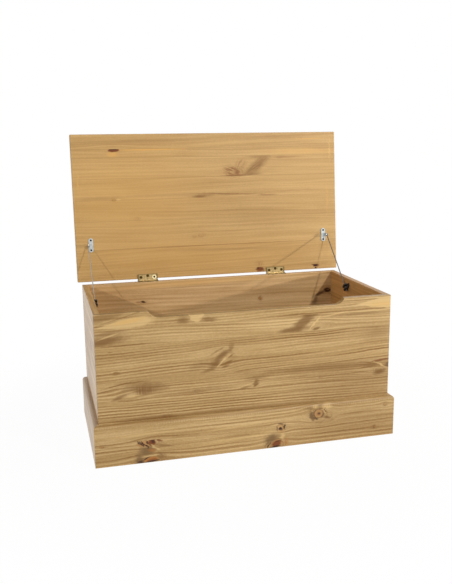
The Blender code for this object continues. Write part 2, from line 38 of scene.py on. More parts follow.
def tone(red, green, blue):
    """A colour as a paint chart gives it, 0 to 255, as the linear colour that shaders take."""
    parts = [part / 255 for part in (red, green, blue)]
    return tuple(p / 12.92 if p <= 0.04045 else ((p + 0.055) / 1.055) ** 2.4 for p in parts)


def metres(millimetres):
    return millimetres / 1000


# Settings.


def colour(name, text, default):
    return bpy.props.FloatVectorProperty(
        name=name, description=text, subtype="COLOR", size=3, min=0, max=1, default=default
    )


def share(name, text, default):
    return bpy.props.FloatProperty(
        name=name, description=text, subtype="FACTOR", min=0, max=1, default=default
    )


def length(name, text, default):
    return bpy.props.FloatProperty(
        name=name, description=text, unit="LENGTH", subtype="DISTANCE", default=default, precision=4
    )


def lamp_power(name, text, default):
    return bpy.props.FloatProperty(name=name, description=text, unit="POWER", min=0, default=default)


class PineSettings(bpy.types.PropertyGroup):
    """Colours and finish of the waxed pine."""

    early: colour("Early Wood", "Pale wood between the growth rings", tone(203, 171, 121))
    late: colour("Late Wood", "Warm wood that the broad grain fades into", tone(171, 138, 88))
    streak: colour("Ring Line", "Dark line that closes a growth ring", tone(122, 83, 34))
    # The pale tint also paints light: the pale arrises' highlight and two pale patches are painted
    # light.
    pale: colour("Sapwood And Painted Light", "Pale flashes and wedges of sapwood, and painted light", tone(212, 178, 122))
    gold: colour("Honey", "Golden tint of resin-rich wood", tone(208, 162, 90))
    # The dusk tint also paints shade: some bands and broad patches of it on the boards are painted
    # shade.
    dusk: colour("Compression Wood And Painted Shade", "Dull brown wood around a knot, and painted shade", tone(118, 82, 38))
    grey: colour("Bruised Wood", "Grey-brown shadow beside a knot", tone(108, 80, 44))
    rust: colour("Heartwood", "Red-brown wood of knots and streaks", tone(112, 58, 16))
    core: colour("Knot Wood", "Orange-brown wood inside a knot", tone(164, 106, 46))
    bark: colour("Knot Rim", "Near-black bark around a knot", tone(52, 20, 2))
    wax: share("Wax Roughness", "Roughness of the waxed surface", 0.4)
    polish: share("Polish", "Thin clear wax coat that shines at low angles", 0.08)
    relief: length("Grain Relief", "Height of the raised grain", 0.00025)


class MetalSettings(bpy.types.PropertyGroup):
    """Colours of the hinges and the lid stays."""

    brass: colour("Brass", "Plated hinge leaves and pins", tone(196, 170, 118))
    tarnish: colour("Brass Tarnish", "Olive stain on the hinges' edges", tone(92, 78, 38))
    # A painted highlight: near-white colour where the lamps' reflection shows on the left hinge's lid
    # leaf.
    painted_glint: colour("Brass Highlight", "Painted highlight round a hinge screw", tone(255, 240, 190))
    # Painted shade: the hinge screws are brass, darkened to how their heads look down in the
    # countersinks.
    shaded_screw_brass: colour("Hinge Screws", "Heads in the hinge leaves, darkened as painted shade", tone(84, 62, 30))
    patina: colour("Screw Patina", "Brown stain on the hinge screws", tone(44, 32, 16))
    zinc: colour("Zinc", "Plates of the stays' brackets", tone(190, 196, 196))
    dull: colour("Dull Metal", "Grey stain on zinc and wire", tone(120, 124, 128))
    # One steel in two tones: the left wire's pale tone is a painted reflection of the bright
    # surroundings, and the right wire's dark tone is painted shade from the trunk's dark inside.
    bright: colour("Lit Wire", "Drawn wire of the left stay", tone(172, 164, 150))
    steel: colour("Shaded Wire", "Drawn wire of the right stay", tone(112, 107, 100))
    black: colour("Black Screws", "Blackened steel of the stays' screws", tone(10, 9, 9))
    bloom: colour("Black Screws' Bloom", "Brown film on the black screws", tone(24, 20, 17))
    plastic: colour("Guide Plastic", "Dark moulded plastic of the guides", tone(44, 36, 31))
    dust: colour("Dust", "Dust on the dark plastic", tone(96, 84, 74))


class StudioSettings(bpy.types.PropertyGroup):
    """Floor, lamps and surroundings."""

    floor: colour("Floor", "Matt floor under the trunk", (0.86, 0.86, 0.86))
    shadow: share("Floor Shadow", "How much of the floor's own shading the camera sees", 0.03)
    walls: share("Walls", "Soft light that comes from the walls", 0.42)
    ceiling: share("Ceiling", "Soft light that comes from above", 0.14)
    key: lamp_power("Key Lamp", "Lamp to the right of the camera", 127.0)
    fill: lamp_power("Fill Lamp", "Lamp to the left of the camera", 66.0)
    side: lamp_power("Side Lamp", "Low lamp to the right of the trunk", 56.0)


# The boards.

# Places and sizes on a board are in millimetres, along its grain and then across it, and
# angles are in degrees. A board's seams are its glued joints, its seed picks its grain, its
# gap is a growth ring's width, and its stain tints the whole; on the back, the left boards and
# the right side the stain also paints in light. A knot's reach and bend say how far and how
# strongly the grain parts round it. A figure is a patch of tinted wood, cut off at the seams
# that its low and high give; some figures are painted shade, and two are painted light.
# PAST_EDGE lies beyond every board, for a figure that no seam cuts.
PAST_EDGE = 2000

Knot = collections.namedtuple(
    "Knot",
    "along across radius stretch reach bend core bark halo",
    defaults=(3.5, 1.2, 0.9, 0.9, 0.7),
)
Figure = collections.namedtuple(
    "Figure",
    "tint along across long wide turn amount soft low high hatch hatch_turn taper ragged",
    defaults=(0.8, -PAST_EDGE, PAST_EDGE, 0, 0, 0, 0.5),
)
Board = collections.namedtuple(
    "Board",
    "nodes axes seed seams gap lines cloud knots figures stain contrast chatter shine",
    defaults=((), (1.0, 1.0, 1.0), 1.0, 0, 1.0),
)
pale, gold, dusk, grey, rust, core, bark, streak = (
    functools.partial(Figure, tint)
    for tint in ("pale", "gold", "dusk", "grey", "rust", "core", "bark", "streak")
)

# How a board lies: its origin, then the ways along, across and through it.
LID_LEAN = math.radians(5.289)
LID_FOOT = (0, 0.19646, 0.4329)
# Half the lid's depth and thickness. Its middle lies as far from its foot.
LID_HALF = (0.2325, 0.009)
UPRIGHT = ((0, 0, 0), (1, 0, 0), (0, 0, 1), (0, 1, 0))
UPRIGHT_SIDE = ((0, 0, 0), (0, 1, 0), (0, 0, 1), (1, 0, 0))
LEVEL = ((0, 0, 0), (1, 0, 0), (0, 1, 0), (0, 0, 1))
LEVEL_SIDE = ((0, 0, 0), (0, 1, 0), (1, 0, 0), (0, 0, 1))
LEANING = (
    LID_FOOT,
    (1, 0, 0),
    (0, math.sin(LID_LEAN), math.cos(LID_LEAN)),
    (0, math.cos(LID_LEAN), -math.sin(LID_LEAN)),
)

FRONT = Board(
    ["front_panel"], UPRIGHT, seed=3.0, seams=(381, 337, 236, 183),
    gap=8.0, lines=0.66, cloud=0.55,
    knots=[
        Knot(-80, 272, 16, 1.4, 1.9, 0.8, 0, 0, 0.15),
        Knot(18, 195, 5, 1.0, 3.5, 1.2, 0, 0.3, 0.5),
        Knot(-345, 198, 11, 2.2, 1.8, 0.9, 0, 0, 0.15),
        Knot(404, 202, 7, 1.8, 6.0, 1.3, 0, 0.3, 0.5),
        Knot(215, 195, 3, 1.6, 3.0, 1.0, 0.3, 0.4, 0.5),
        Knot(-240, 123, 4, 1.8, 3.0, 1.0, 0.2, 0.5, 0.5),
        Knot(-152, 190, 3, 2.6, 3.0, 1.2, 0.2, 0.4, 0.4),
        Knot(-377, 262, 3, 1.2, 3.0, 1.2, 0.1, 0.4, 0.4),
        Knot(205, 352, 10, 2.0, 3.0, 1.0, 0, 0, 0.1),
    ],
    figures=[
        dusk(-400, 420, 80, 13, 14, 0.5, 0.5, low=383),
        pale(-350, 397, 90, 13, 6, 0.65, 0.3, low=381, taper=0.85, ragged=0.4),
        gold(-338, 404, 56, 8, 9, 0.5, low=384),
        streak(-350, 416, 84, 1.5, 15, 0.5, 0.6),
        dusk(-400, 373, 64, 7, 5, 0.6, high=381),
        dusk(-402, 354, 74, 15, 5, 0.85, low=337, high=374),
        dusk(-414, 347, 30, 7, 5, 0.5, low=337),
        streak(-340, 338, 95, 1.6, 1.6, 0.85, 0.6),
        pale(-395, 365, 34, 2.6, 16, 0.55, 0.7),
        streak(-391, 321, 10, 1.6, 0, 0.7, 0.7),
        pale(-152, 412, 22, 25, 0, 0.66, 0.14, ragged=0.15),
        dusk(-189, 396, 19, 12, 0, 0.75, low=383),
        dusk(-116, 394, 26, 8, -4, 0.7, low=383),
        streak(-120, 388, 22, 2, -4, 0.5, 0.7),
        dusk(158, 364, 54, 17, 38, 0.84, 0.6, low=337, high=386, ragged=0.6),
        # Painted shade: a broad soft darkening of the upper right, against the side lamp's extra light
        # there.
        dusk(330, 352, 170, 88, 0, 0.14, 1.0),
        dusk(146, 345, 46, 9, 6, 0.6, low=337),
        dusk(114, 344, 34, 8, 6, 0.8, 0.7, low=337),
        dusk(178, 384, 34, 3, 0, 0.8, 0.6, high=386.5),
        streak(125, 386, 46, 1.4, 0, 0.5, 0.7),
        dusk(199, 343, 15, 4.5, 14, 0.85, 0.6, low=337),
        pale(194, 360, 30, 3, 48, 0.65, 0.6),
        pale(252, 381, 50, 2.6, 8, 0.6, 0.6),
        pale(360, 384, 76, 2, -1, 0.55, 0.7),
        dusk(330, 377, 110, 4.5, 0, 0.55),
        pale(397, 406, 86, 15, 1, 0.7, 0.2, low=388, taper=0.9, ragged=0.3),
        gold(405, 402, 50, 7, 0, 0.4, low=388),
        dusk(390, 315, 60, 26, 0, 0.35, 1.0),
        dusk(-54, 305, 9, 20, -10, 0.6, 0.9),
        dusk(-76, 291, 29, 9, 30, 0.85),
        dusk(-99, 266, 28, 12, 40, 0.85, 0.9),
        streak(-58, 283, 17, 3.4, 24, 0.75),
        streak(-64, 266, 19, 3.6, 18, 0.9),
        dusk(-70, 254, 17, 3, 12, 0.85, 0.6),
        dusk(-118, 247, 30, 6, 14, 0.6, 0.9),
        dusk(-145, 262, 44, 14, 10, 0.35, 0.9),
        dusk(-94, 301, 28, 3.5, 28, 0.5, 0.7),
        pale(-82, 268, 26, 2.6, 46, 0.6, 0.6),
        pale(-66, 280, 16, 3, 36, 0.5, 0.7),
        dusk(18, 198, 9, 14, -24, 0.75),
        streak(16, 190, 11, 3, 30, 0.75, 0.7),
        dusk(24, 213, 44, 8, 4, 0.5),
        pale(-14, 192, 24, 2.4, 14, 0.5, 0.7),
        dusk(-16, 186, 24, 4.5, 10, 0.6),
        dusk(-298, 214, 74, 20, -2, 0.65, 0.7, low=184, high=236),
        dusk(-303, 206, 34, 16, -4, 0.85, 0.7, low=184, hatch=0.6, hatch_turn=88),
        streak(-372, 227, 44, 2, 10, 0.85, 0.6),
        streak(-335, 231, 50, 2.6, 2, 0.75, 0.7, high=236),
        streak(-402, 214, 36, 1.8, 8, 0.85, 0.6),
        dusk(-368, 193, 32, 7, 24, 0.7, 0.9, low=183),
        pale(-352, 203, 34, 2, 10, 0.5, 0.7),
        pale(-330, 193, 26, 2.2, 4, 0.55, 0.7),
        streak(-120, 223, 150, 2.0, 2, 0.45),
        streak(120, 229, 200, 1.8, -1, 0.55),
        streak(190, 221, 240, 1.8, -1, 0.55),
        streak(60, 203, 220, 1.6, 0, 0.6),
        streak(290, 199, 150, 1.8, 1, 0.65),
        dusk(230, 224, 260, 14, 0, 0.45, 0.9, high=236),
        dusk(376, 219, 30, 9, 0, 0.6, high=236),
        streak(360, 227, 30, 1.6, -8, 0.9, 0.6),
        streak(358, 221, 32, 1.5, -3, 0.85, 0.6),
        streak(362, 214, 32, 1.5, 5, 0.8, 0.6),
        rust(407, 232, 36, 3.8, 4, 0.85, 0.6, high=236),
        pale(403, 219, 24, 2.4, -25, 0.8, 0.5),
        bark(428, 216, 9, 9, 0, 0.6, 0.7),
        dusk(401, 196, 24, 9, 10, 0.9, 0.7),
        streak(401, 196, 13, 5, 10, 0.6),
        # Painted shade: a broad soft darkening of the lower right, against the side lamp's extra light
        # there.
        dusk(310, 180, 220, 75, 0, 0.4, 1.0),
        dusk(-303, 124, 76, 8, 0, 0.5, 0.9),
        streak(-244, 123, 44, 4, 0, 0.5),
        streak(-290, 161, 130, 1.8, -1, 0.6),
        streak(120, 160, 260, 1.6, 1, 0.5),
        streak(180, 150, 220, 1.5, 0, 0.45),
        dusk(-150, 190, 130, 10, 2, 0.35, 0.9, low=183),
        # Painted shadow: a dark band along the foot of the panel, just above the plinth.
        dusk(-20, 124, 470, 9, 0, 0.5, 1.0),
    ],
    stain=(0.98, 0.985, 0.97),
    contrast=0.84,
)
BACK = Board(
    ["back_panel"], UPRIGHT, seed=11.0, seams=(402, 330, 262, 194, 126, 58),
    gap=13.0, lines=0.35, cloud=0.7,
    knots=[
        Knot(-240, 362, 4.5, 2.0, 4.0, 1.1, 0, 0, 0.5),
        Knot(157, 348, 5, 0.9, 4.0, 1.2, 0.9, 0.6),
        Knot(400, 362, 9, 1.2, 3.0, 1.2, 0, 0, 0.8),
        Knot(-60, 210, 9, 1.3, 3.5, 1.2, 1, 1),
        Knot(290, 150, 12, 1.2, 3.5, 1.2, 0.8),
        Knot(-330, 90, 7, 1.4, 3.5, 1.2, 1),
    ],
    figures=[
        gold(-80, 416, 330, 10, 1, 0.4, 0.9),
        # Painted light: the pale patch brightens the top strip that the side lamp reaches over the
        # right wall.
        pale(130, 398, 60, 12, 14, 0.3, 1.0),
        rust(0, 380, 420, 46, 0, 0.14, 1.0),
        # Painted shade: the left end darkens towards its corner with the left side.
        dusk(-350, 350, 150, 110, 0, 0.3, 1.0),
        bark(-238, 362, 11, 4.5, 0, 0.95, 0.5),
        rust(-256, 362, 14, 2.5, 0, 0.6),
        bark(372, 351, 26, 7, 22, 0.8),
        bark(356, 330, 12, 22, -10, 0.5, 0.9),
        bark(400, 362, 13, 10, 0, 1.0, 0.4),
        grey(401, 363, 4, 3, 0, 0.8, 0.6),
        dusk(60, 160, 120, 24, -8, 0.4, 0.9, low=126, high=194),
    ],
    # Painted light: the stain brightens the back, whose inside the lamps light less than the front.
    stain=(1.25, 1.23, 1.34),
    contrast=0.6,
)
LEFT_SIDE = Board(
    ["left_side_panel"], UPRIGHT_SIDE, seed=23.0, seams=(402, 334, 266, 198, 130, 62),
    gap=11.0, lines=0.5, cloud=0.6,
    knots=[
        Knot(-90, 300, 10, 1.2),
        Knot(70, 175, 7, 1.4),
        Knot(118, 372, 4, 1.6, 3.5, 1.2, 1, 1, 0.6),
    ],
    figures=[
        dusk(20, 240, 120, 20, 6, 0.4, 0.9, low=198, high=266),
        pale(-120, 210, 60, 12, -4, 0.4),
    ],
    # Painted sheen: the stain makes the board paler, as the white surroundings' reflection does at a
    # low angle.
    stain=(1.26, 1.2, 1.12),
    shine=6.0,
)
RIGHT_SIDE = Board(
    ["right_side_panel"], UPRIGHT_SIDE, seed=29.0, seams=(390, 322, 254, 186, 118),
    gap=12.0, lines=0.28, cloud=0.5,
    knots=[
        Knot(-120, 215, 11, 1.2),
        Knot(60, 290, 6, 1.5),
    ],
    figures=[
        dusk(-20, 160, 110, 18, -5, 0.4, 0.9, low=118, high=186),
        pale(100, 230, 60, 10, 5, 0.4),
    ],
    # Painted bounce light: the stain makes the board redder, as light reflected off the wood inside
    # the trunk does.
    stain=(1.12, 0.925, 0.74),
    contrast=0.7,
)
LID = Board(
    ["lid_panel"], LEANING, seed=41.0, seams=(418, 390, 325, 257, 190, 100, 18),
    gap=12.0, lines=0.2, cloud=0.6,
    knots=[
        Knot(-310, 416, 7, 2.0, 5.0, 1.0, 0, 0, 0.1),
        Knot(92, 335, 12, 1.5, 3.0, 0.9, 0, 0, 0.35),
        Knot(-315, 257, 3, 1.8, 4.0, 1.2, 0.5, 0.6, 0.4),
        Knot(-245, 196, 4, 1.6, 4.0, 1.2, 0.1, 0.3, 0.4),
        Knot(-34, 133, 4, 2.2, 4.0, 1.2, 0.15, 0.35, 0.4),
        Knot(-57, 130, 3, 1.6, 4.0, 1.2, 0.15, 0.35, 0.4),
        Knot(246, 383, 3, 2.0, 4.0, 1.2, 0.1, 0.3, 0.3),
    ],
    figures=[
        gold(-300, 250, 330, 210, 0, 0.35, 1.0),
        # Painted light: a faint pale patch brightens the right part of the lid, where the side lamp
        # falls.
        pale(330, 280, 260, 120, 0, 0.1, 1.0),
        gold(-60, 60, 520, 90, 0, 0.35, 1.0),
        dusk(-260, 441, 210, 9, 1, 0.3, 1.0, low=418),
        rust(230, 452, 260, 5, 2, 0.2, 1.0),
        gold(-190, 415, 130, 3.5, 0, 0.8, 0.7, high=418.5),
        gold(-311, 403, 22, 10, 0, 0.7, high=418),
        pale(60, 432, 240, 9, 2, 0.3, 1.0),
        gold(320, 402, 160, 12, 0, 0.35, 0.9, low=390),
        rust(-309, 416, 19, 8, 2, 1.0, 0.3, high=418),
        bark(-310, 418, 16, 3.5, 2, 0.7, 0.5, high=418.5),
        rust(78, 341, 34, 18, -16, 0.8, low=325, hatch=0.9, hatch_turn=-24),
        rust(94, 335, 11, 12, 0, 0.6, 0.9, low=325),
        rust(108, 362, 26, 20, 40, 0.4, 0.9, low=325, high=390, hatch=0.8, hatch_turn=62),
        dusk(162, 356, 60, 19, 38, 0.75, 0.7, low=325, high=390, hatch=0.3, hatch_turn=32),
        rust(172, 364, 34, 8, 38, 0.25, 0.9, low=325, high=390),
        dusk(150, 330, 40, 6, 2, 0.6, 0.9, low=325),
        rust(90, 326.5, 62, 1.6, 0, 0.8),
        dusk(170, 386, 42, 6, 0, 0.45, 0.9, high=390),
        rust(268, 384, 60, 4, 1, 0.3, 0.9, high=390),
        rust(-36, 260, 26, 5, 0, 0.45, low=257),
        dusk(-30, 262, 40, 6, 2, 0.6, 0.9, low=257),
        rust(60, 267, 135, 3.0, -2.2, 0.55, 0.9),
        rust(198, 260, 40, 2.6, 0, 0.5, 0.9, low=257),
        dusk(-370, 264, 90, 7, 0, 0.3, 0.9, low=257),
        dusk(-80, 268, 260, 7, 0, 0.28, 1.0, low=257),
        rust(300, 272, 130, 3, 1, 0.3, 0.9),
        pale(-303, 258, 9, 4, 0, 0.6),
        rust(165, 11, 15, 11, 0, 1.0, 0.6, high=18),
        bark(158, 14, 6, 4, 0, 0.7, 0.6, high=18),
        bark(175, 9, 4, 8, 20, 0.5, 0.7, high=18),
        rust(163, 28, 18, 12, 0, 0.35, 0.9, low=18, hatch=0.7, hatch_turn=70),
        rust(366, 14, 15, 6, -8, 0.9, 0.5, high=17.5),
        bark(364, 13, 9, 4, -8, 1.0, 0.4, high=17.5),
        bark(366, 4, 4.5, 3.5, 0, 1.0, 0.5),
        rust(0, 100, 380, 2.2, 0, 0.35, 0.9),
        dusk(60, 84, 200, 5, -1, 0.3, 0.9),
        gold(-425, 315, 3, 34, 0, 0.6, 0.6, hatch=0.6),
        gold(345, 443, 88, 2.4, 1, 0.5, 0.7),
        gold(412, 240, 3, 60, 0, 0.35),
        pale(424, 410, 3, 50, 0, 0.35),
    ],
    stain=(0.99, 0.935, 0.83),
    contrast=0.55,
)
PLINTH_FRONT = Board(
    ["plinth_front"], UPRIGHT, seed=53.0, seams=(66,),
    gap=11.0, lines=0.5, cloud=0.5,
    knots=[
        Knot(-291, 58, 10, 1.7, 3.2, 1.1, 0, 0, 0.4),
        Knot(-290, 2, 14, 1.7, 2.6, 1.1, 0, 0),
        Knot(88, 58, 7, 1.0, 3.5, 1.3, 0, 0, 0.6),
        Knot(76, 6, 11, 1.4, 3.0, 1.2, 0, 0, 0.8),
        Knot(204, 89, 14, 1.1, 3.0, 1.2, 0.6, 0.7, 0.6),
        Knot(234, 80, 8, 1.0, 2.5, 1.0, 0, 0, 0.5),
        Knot(382, 30, 4, 0.9, 3.5, 1.2, 0.8, 0.8, 0.5),
        Knot(416, 97, 5, 1.0, 3.5, 1.2, 0.3, 0.5, 0.4),
        Knot(-425, 60, 3, 1.8, 3.5, 1.2, 0.6, 0.7, 0.5),
    ],
    figures=[
        grey(-302, 34, 30, 18, 10, 0.85, ragged=0.8),
        core(-288, 35, 13, 6, -10, 0.55, 0.7),
        core(-302, 57, 30, 11, 0, 0.55, 0.5, high=66),
        bark(-325, 61, 8, 2.0, -52, 0.9, 0.4, high=66),
        bark(-317, 57, 12, 2.3, -52, 1.0, 0.4, high=66),
        bark(-308, 54, 17, 2.6, -50, 1.0, 0.4, high=66),
        bark(-299, 57, 12, 2.4, -52, 0.9, 0.4, high=66),
        rust(-287, 59, 14, 9, -20, 1.0, 0.4, high=66),
        bark(-284, 61, 9, 4.5, -30, 0.8, 0.6, high=66),
        rust(-267, 62, 10, 3, -24, 0.8, 0.6, high=66),
        dusk(-254, 46, 26, 4.5, -14, 0.6),
        pale(-277, 42, 20, 3.6, -35, 0.6, 0.6),
        grey(-324, 10, 17, 16, 0, 0.75),
        core(-291, 8, 22, 9, 4, 0.95, 0.4),
        rust(-288, 7, 15, 4, 8, 0.7, 0.7),
        bark(-288, 3, 25, 3.2, 6, 1.0, 0.5),
        bark(-303, 13, 15, 2.0, 26, 0.9, 0.5),
        pale(-290, 19, 27, 2.4, 4, 0.65, 0.6),
        bark(-320, 4, 11, 4.5, 0, 0.9, 0.6),
        dusk(-262, 18, 16, 9, -30, 0.6, 0.9),
        grey(60, 28, 26, 17, 24, 0.85, ragged=0.8),
        core(88, 58, 12, 14, 0, 0.5, 0.5),
        pale(87, 61, 9, 9, 0, 0.45, 0.6),
        bark(88, 56, 6.5, 7, -30, 1.0, 0.5),
        bark(100, 60, 2.8, 11, -10, 0.9, 0.6),
        bark(89, 71, 11, 2.1, -6, 0.85, 0.6),
        bark(77, 57, 2.4, 10, 0, 0.7, 0.7),
        pale(94, 32, 6, 14, -20, 0.6, 0.7),
        core(106, 14, 9, 14, 0, 0.5),
        core(75, 14, 18, 10, 12, 0.8, 0.5),
        rust(75, 12, 16, 9, 14, 1.0, 0.4),
        bark(79, 19, 13, 1.9, 12, 0.7, 0.6),
        bark(72, 3, 18, 3.4, 8, 1.0, 0.5),
        bark(52, 9, 2.6, 11, -20, 0.85, 0.6),
        grey(46, 16, 5, 14, -20, 0.6),
        bark(206, 90, 5, 5, 0, 0.8, 0.7),
        dusk(204, 104, 17, 2, 0, 0.7, 0.6),
        bark(186, 80, 7, 12, 14, 0.6),
        grey(183, 84, 8, 17, 10, 0.9, 0.5),
        bark(194, 74, 9, 2, -30, 0.6, 0.6),
        grey(176, 108, 22, 4, 4, 0.5, 0.9),
        pale(231, 111, 17, 10, 0, 0.9, 0.6),
        pale(194, 112, 10, 6, 0, 0.8, 0.7),
        pale(222, 96, 5, 12, 20, 0.55, 0.7),
        dusk(225, 97, 3, 11, 20, 0.95, 0.6),
        dusk(231, 76, 10, 5.5, -20, 0.9, 0.7),
        streak(320, 82, 60, 2.4, 2, 0.45),
        pale(-330, 84, 130, 5, 1, 0.4, 0.9),
        pale(-60, 76, 130, 4, 3, 0.4, 0.9),
        pale(-20, 42, 190, 6, 4, 0.35, 0.9),
        streak(-380, 55, 60, 2, -3, 0.5),
        streak(-150, 62, 150, 2, -2, 0.35, 0.9),
        # Painted shade: a broad soft darkening of the right end, against the side lamp's extra light
        # there.
        dusk(340, 50, 230, 80, 0, 0.35, 1.0),
        # Painted shade: a dark band along the rounded top, which damps that edge's highlight.
        dusk(0, 116, 900, 6, 0, 0.3),
    ],
    stain=(0.98, 0.985, 0.97),
    chatter=0.8,
)
PLINTH_LEFT = Board(
    ["plinth_left"], UPRIGHT_SIDE, seed=61.0, seams=(58,),
    gap=11.0, lines=0.5, cloud=0.5,
    knots=[Knot(40, 84, 7, 1.4), Knot(-140, 30, 5, 1.4)],
    figures=[dusk(-60, 74, 90, 10, 4, 0.4, 0.9, low=58)],
    # Painted sheen: the stain makes the board paler, as on the left side.
    stain=(1.1, 1.06, 1.0),
    shine=6.0,
)
PLINTH_RIGHT = Board(
    ["plinth_right"], UPRIGHT_SIDE, seed=67.0, seams=(72,),
    gap=11.0, lines=0.5, cloud=0.5,
    knots=[Knot(-70, 40, 8, 1.3), Knot(120, 92, 4, 1.6, 3.5, 1.2, 1, 1, 0.6)],
    figures=[pale(40, 88, 90, 8, -3, 0.4, low=72)],
    stain=(1.06, 0.97, 0.86),
)
BASE = Board(
    ["base_panel"], LEVEL, seed=71.0, seams=(120, 52, -16, -84, -152),
    gap=12.0, lines=0.45, cloud=0.6,
    knots=[
        Knot(-180, 80, 8, 1.4, 3.5, 1.2, 1, 1),
        Knot(120, -40, 11, 1.2, 3.5, 1.2, 0.8),
        Knot(300, 100, 5, 1.6, 3.5, 1.2, 1, 1),
        Knot(-320, -120, 6, 1.4, 3.5, 1.2, 1, 1),
    ],
    figures=[dusk(40, -120, 160, 20, 3, 0.35, 0.9)],
)
LONG_BATTENS = Board(
    ["base_batten_front", "base_batten_back"], LEVEL, seed=79.0, seams=(),
    gap=10.0, lines=0.5, cloud=0.6,
    knots=[Knot(-130, 162, 4, 1.5, 3.5, 1.2, 1, 1, 0.6), Knot(210, -215, 4, 1.5, 3.5, 1.2, 1, 1, 0.6)],
)
SHORT_BATTENS = Board(
    ["base_batten_left", "base_batten_right"], LEVEL_SIDE, seed=83.0, seams=(),
    gap=10.0, lines=0.5, cloud=0.6,
    knots=[Knot(60, 402, 4, 1.5, 3.5, 1.2, 1, 1, 0.6), Knot(-90, -402, 4, 1.5, 3.5, 1.2, 1, 1, 0.6)],
)


# Node trees.

VALUE, VECTOR, COLOUR = "NodeSocketFloat", "NodeSocketVector", "NodeSocketColor"


class Wiring:
    """Adds nodes to one tree and links them. The functions below call it w."""

    def __init__(self, tree):
        self.tree = tree

    def feed(self, socket, value):
        if isinstance(value, bpy.types.NodeSocket):
            self.tree.links.new(value, socket)
        elif socket.type == "RGBA":
            socket.default_value = (*value, 1)[:4]
        else:
            socket.default_value = value

    def node(self, kind, inputs=(), **settings):
        node = self.tree.nodes.new(kind)
        row, column = divmod(len(self.tree.nodes), 10)
        node.location = (200 * column, -240 * row)
        for name, value in settings.items():
            setattr(node, name, value)
        for name, value in dict(inputs).items():
            self.feed(node.inputs[name], value)
        return node

    def maths(self, operation, *values):
        return self.node("ShaderNodeMath", enumerate(values), operation=operation).outputs[0]

    def plus(self, first, second):
        return self.maths("ADD", first, second)

    def minus(self, first, second):
        return self.maths("SUBTRACT", first, second)

    def over(self, first, second):
        return self.maths("DIVIDE", first, second)

    def most(self, first, second):
        return self.maths("MAXIMUM", first, second)

    def times(self, product, *others):
        for other in others:
            product = self.maths("MULTIPLY", product, other)
        return product

    def scaled(self, value, factor, base):
        """The value times the factor, added to the base."""
        return self.maths("MULTIPLY_ADD", value, factor, base)

    def swayed(self, base, noise, reach):
        """The base, moved either way by a noise that lies about 0.5."""
        return self.scaled(self.minus(noise, 0.5), reach, base)

    def vector(self, operation, *values):
        node = self.node("ShaderNodeVectorMath", enumerate(values), operation=operation)
        return node.outputs["Vector"]

    def measure(self, operation, *values):
        node = self.node("ShaderNodeVectorMath", enumerate(values), operation=operation)
        return node.outputs["Value"]

    def ramp(self, value, low, high, to_low=0.0, to_high=1.0, kind="SMOOTHSTEP"):
        inputs = {"Value": value, "From Min": low, "From Max": high}
        inputs |= {"To Min": to_low, "To Max": to_high}
        return self.node("ShaderNodeMapRange", inputs, interpolation_type=kind).outputs["Result"]

    def slope(self, value, low, high, to_low=0.0, to_high=1.0):
        return self.ramp(value, low, high, to_low, to_high, "LINEAR")

    def mix(self, factor, first, second):
        # Inputs 6 and 7 and output 2 are the node's colours.
        inputs = {0: factor, 6: first, 7: second}
        return self.node("ShaderNodeMix", inputs, data_type="RGBA").outputs[2]

    def join(self, x=0.0, y=0.0, z=0.0):
        return self.node("ShaderNodeCombineXYZ", {0: x, 1: y, 2: z}).outputs[0]

    def split(self, vector):
        return self.node("ShaderNodeSeparateXYZ", {0: vector}).outputs

    def noise(self, vector, scale=1.0, detail=2.0, roughness=0.5):
        inputs = {"Vector": vector, "Scale": scale, "Detail": detail, "Roughness": roughness}
        return self.node("ShaderNodeTexNoise", inputs).outputs["Fac"]

    def stretched(self, *parts, detail=2.0, roughness=0.5):
        """A noise of the given parts, each a place or a place and its scale."""
        places = [self.times(*part) if isinstance(part, tuple) else part for part in parts]
        return self.noise(self.join(*places), 1.0, detail, roughness)

    def scatter(self, value):
        return self.node("ShaderNodeTexWhiteNoise", {"W": value}, noise_dimensions="1D").outputs


def effect(name, inputs, outputs):
    """Turns a function that wires a node group into one that places it, made once."""

    def keep(wire_up):
        @functools.cache
        def group():
            tree = bpy.data.node_groups.new(name, "ShaderNodeTree")
            for in_out, kinds in (("INPUT", inputs), ("OUTPUT", outputs)):
                for kind, sockets in kinds.items():
                    for socket in sockets:
                        tree.interface.new_socket(socket, in_out=in_out, socket_type=kind)
            w = Wiring(tree)
            given = w.node("NodeGroupInput").outputs
            ends = w.node("NodeGroupOutput").inputs
            for socket, value in wire_up(w, given).items():
                w.feed(ends[socket], value)
            return tree

        def place(w, values):
            return w.node("ShaderNodeGroup", values, node_tree=group()).outputs

        return place

    return keep


# Effects that several materials share.


@effect(
    "Board Axes",
    {VECTOR: ("Point", "Normal", "Origin", "Along", "Across", "Through")},
    {VECTOR: ("Place",), VALUE: ("End Grain",)},
)
def board_axes(w, given):
    """Where a point lies along, across and through its board, and how far it is end grain."""
    point = w.vector("SUBTRACT", given["Point"], given["Origin"])
    ways = ("Along", "Across", "Through")
    place = w.join(*[w.measure("DOT_PRODUCT", point, given[way]) for way in ways])
    facing = w.maths("ABSOLUTE", w.measure("DOT_PRODUCT", given["Normal"], given["Along"]))
    return {"Place": place, "End Grain": w.ramp(facing, 0.6, 0.8)}


@effect("Glue Seam", {VALUE: ("Across", "At", "Stave", "Line")}, {VALUE: ("Stave", "Line")})
def glue_seam(w, given):
    """One glued joint across a board: it counts the staves and draws the joint's line."""
    gap = w.minus(given["Across"], given["At"])
    line = w.ramp(w.maths("ABSOLUTE", gap), metres(0.9), metres(0.2))
    return {
        "Stave": w.plus(given["Stave"], w.maths("GREATER_THAN", gap, 0.0)),
        "Line": w.most(given["Line"], line),
    }


KNOT_MASKS = ("Core", "Heart", "Bark", "Halo")
KNOT_NUMBERS = (
    "Along", "Across", "Centre Along", "Centre Across", "Wobble", "Breaks", "Radius", "Stretch",
    "Reach", "Bend", "Core Strength", "Bark Strength", "Halo Strength",
)


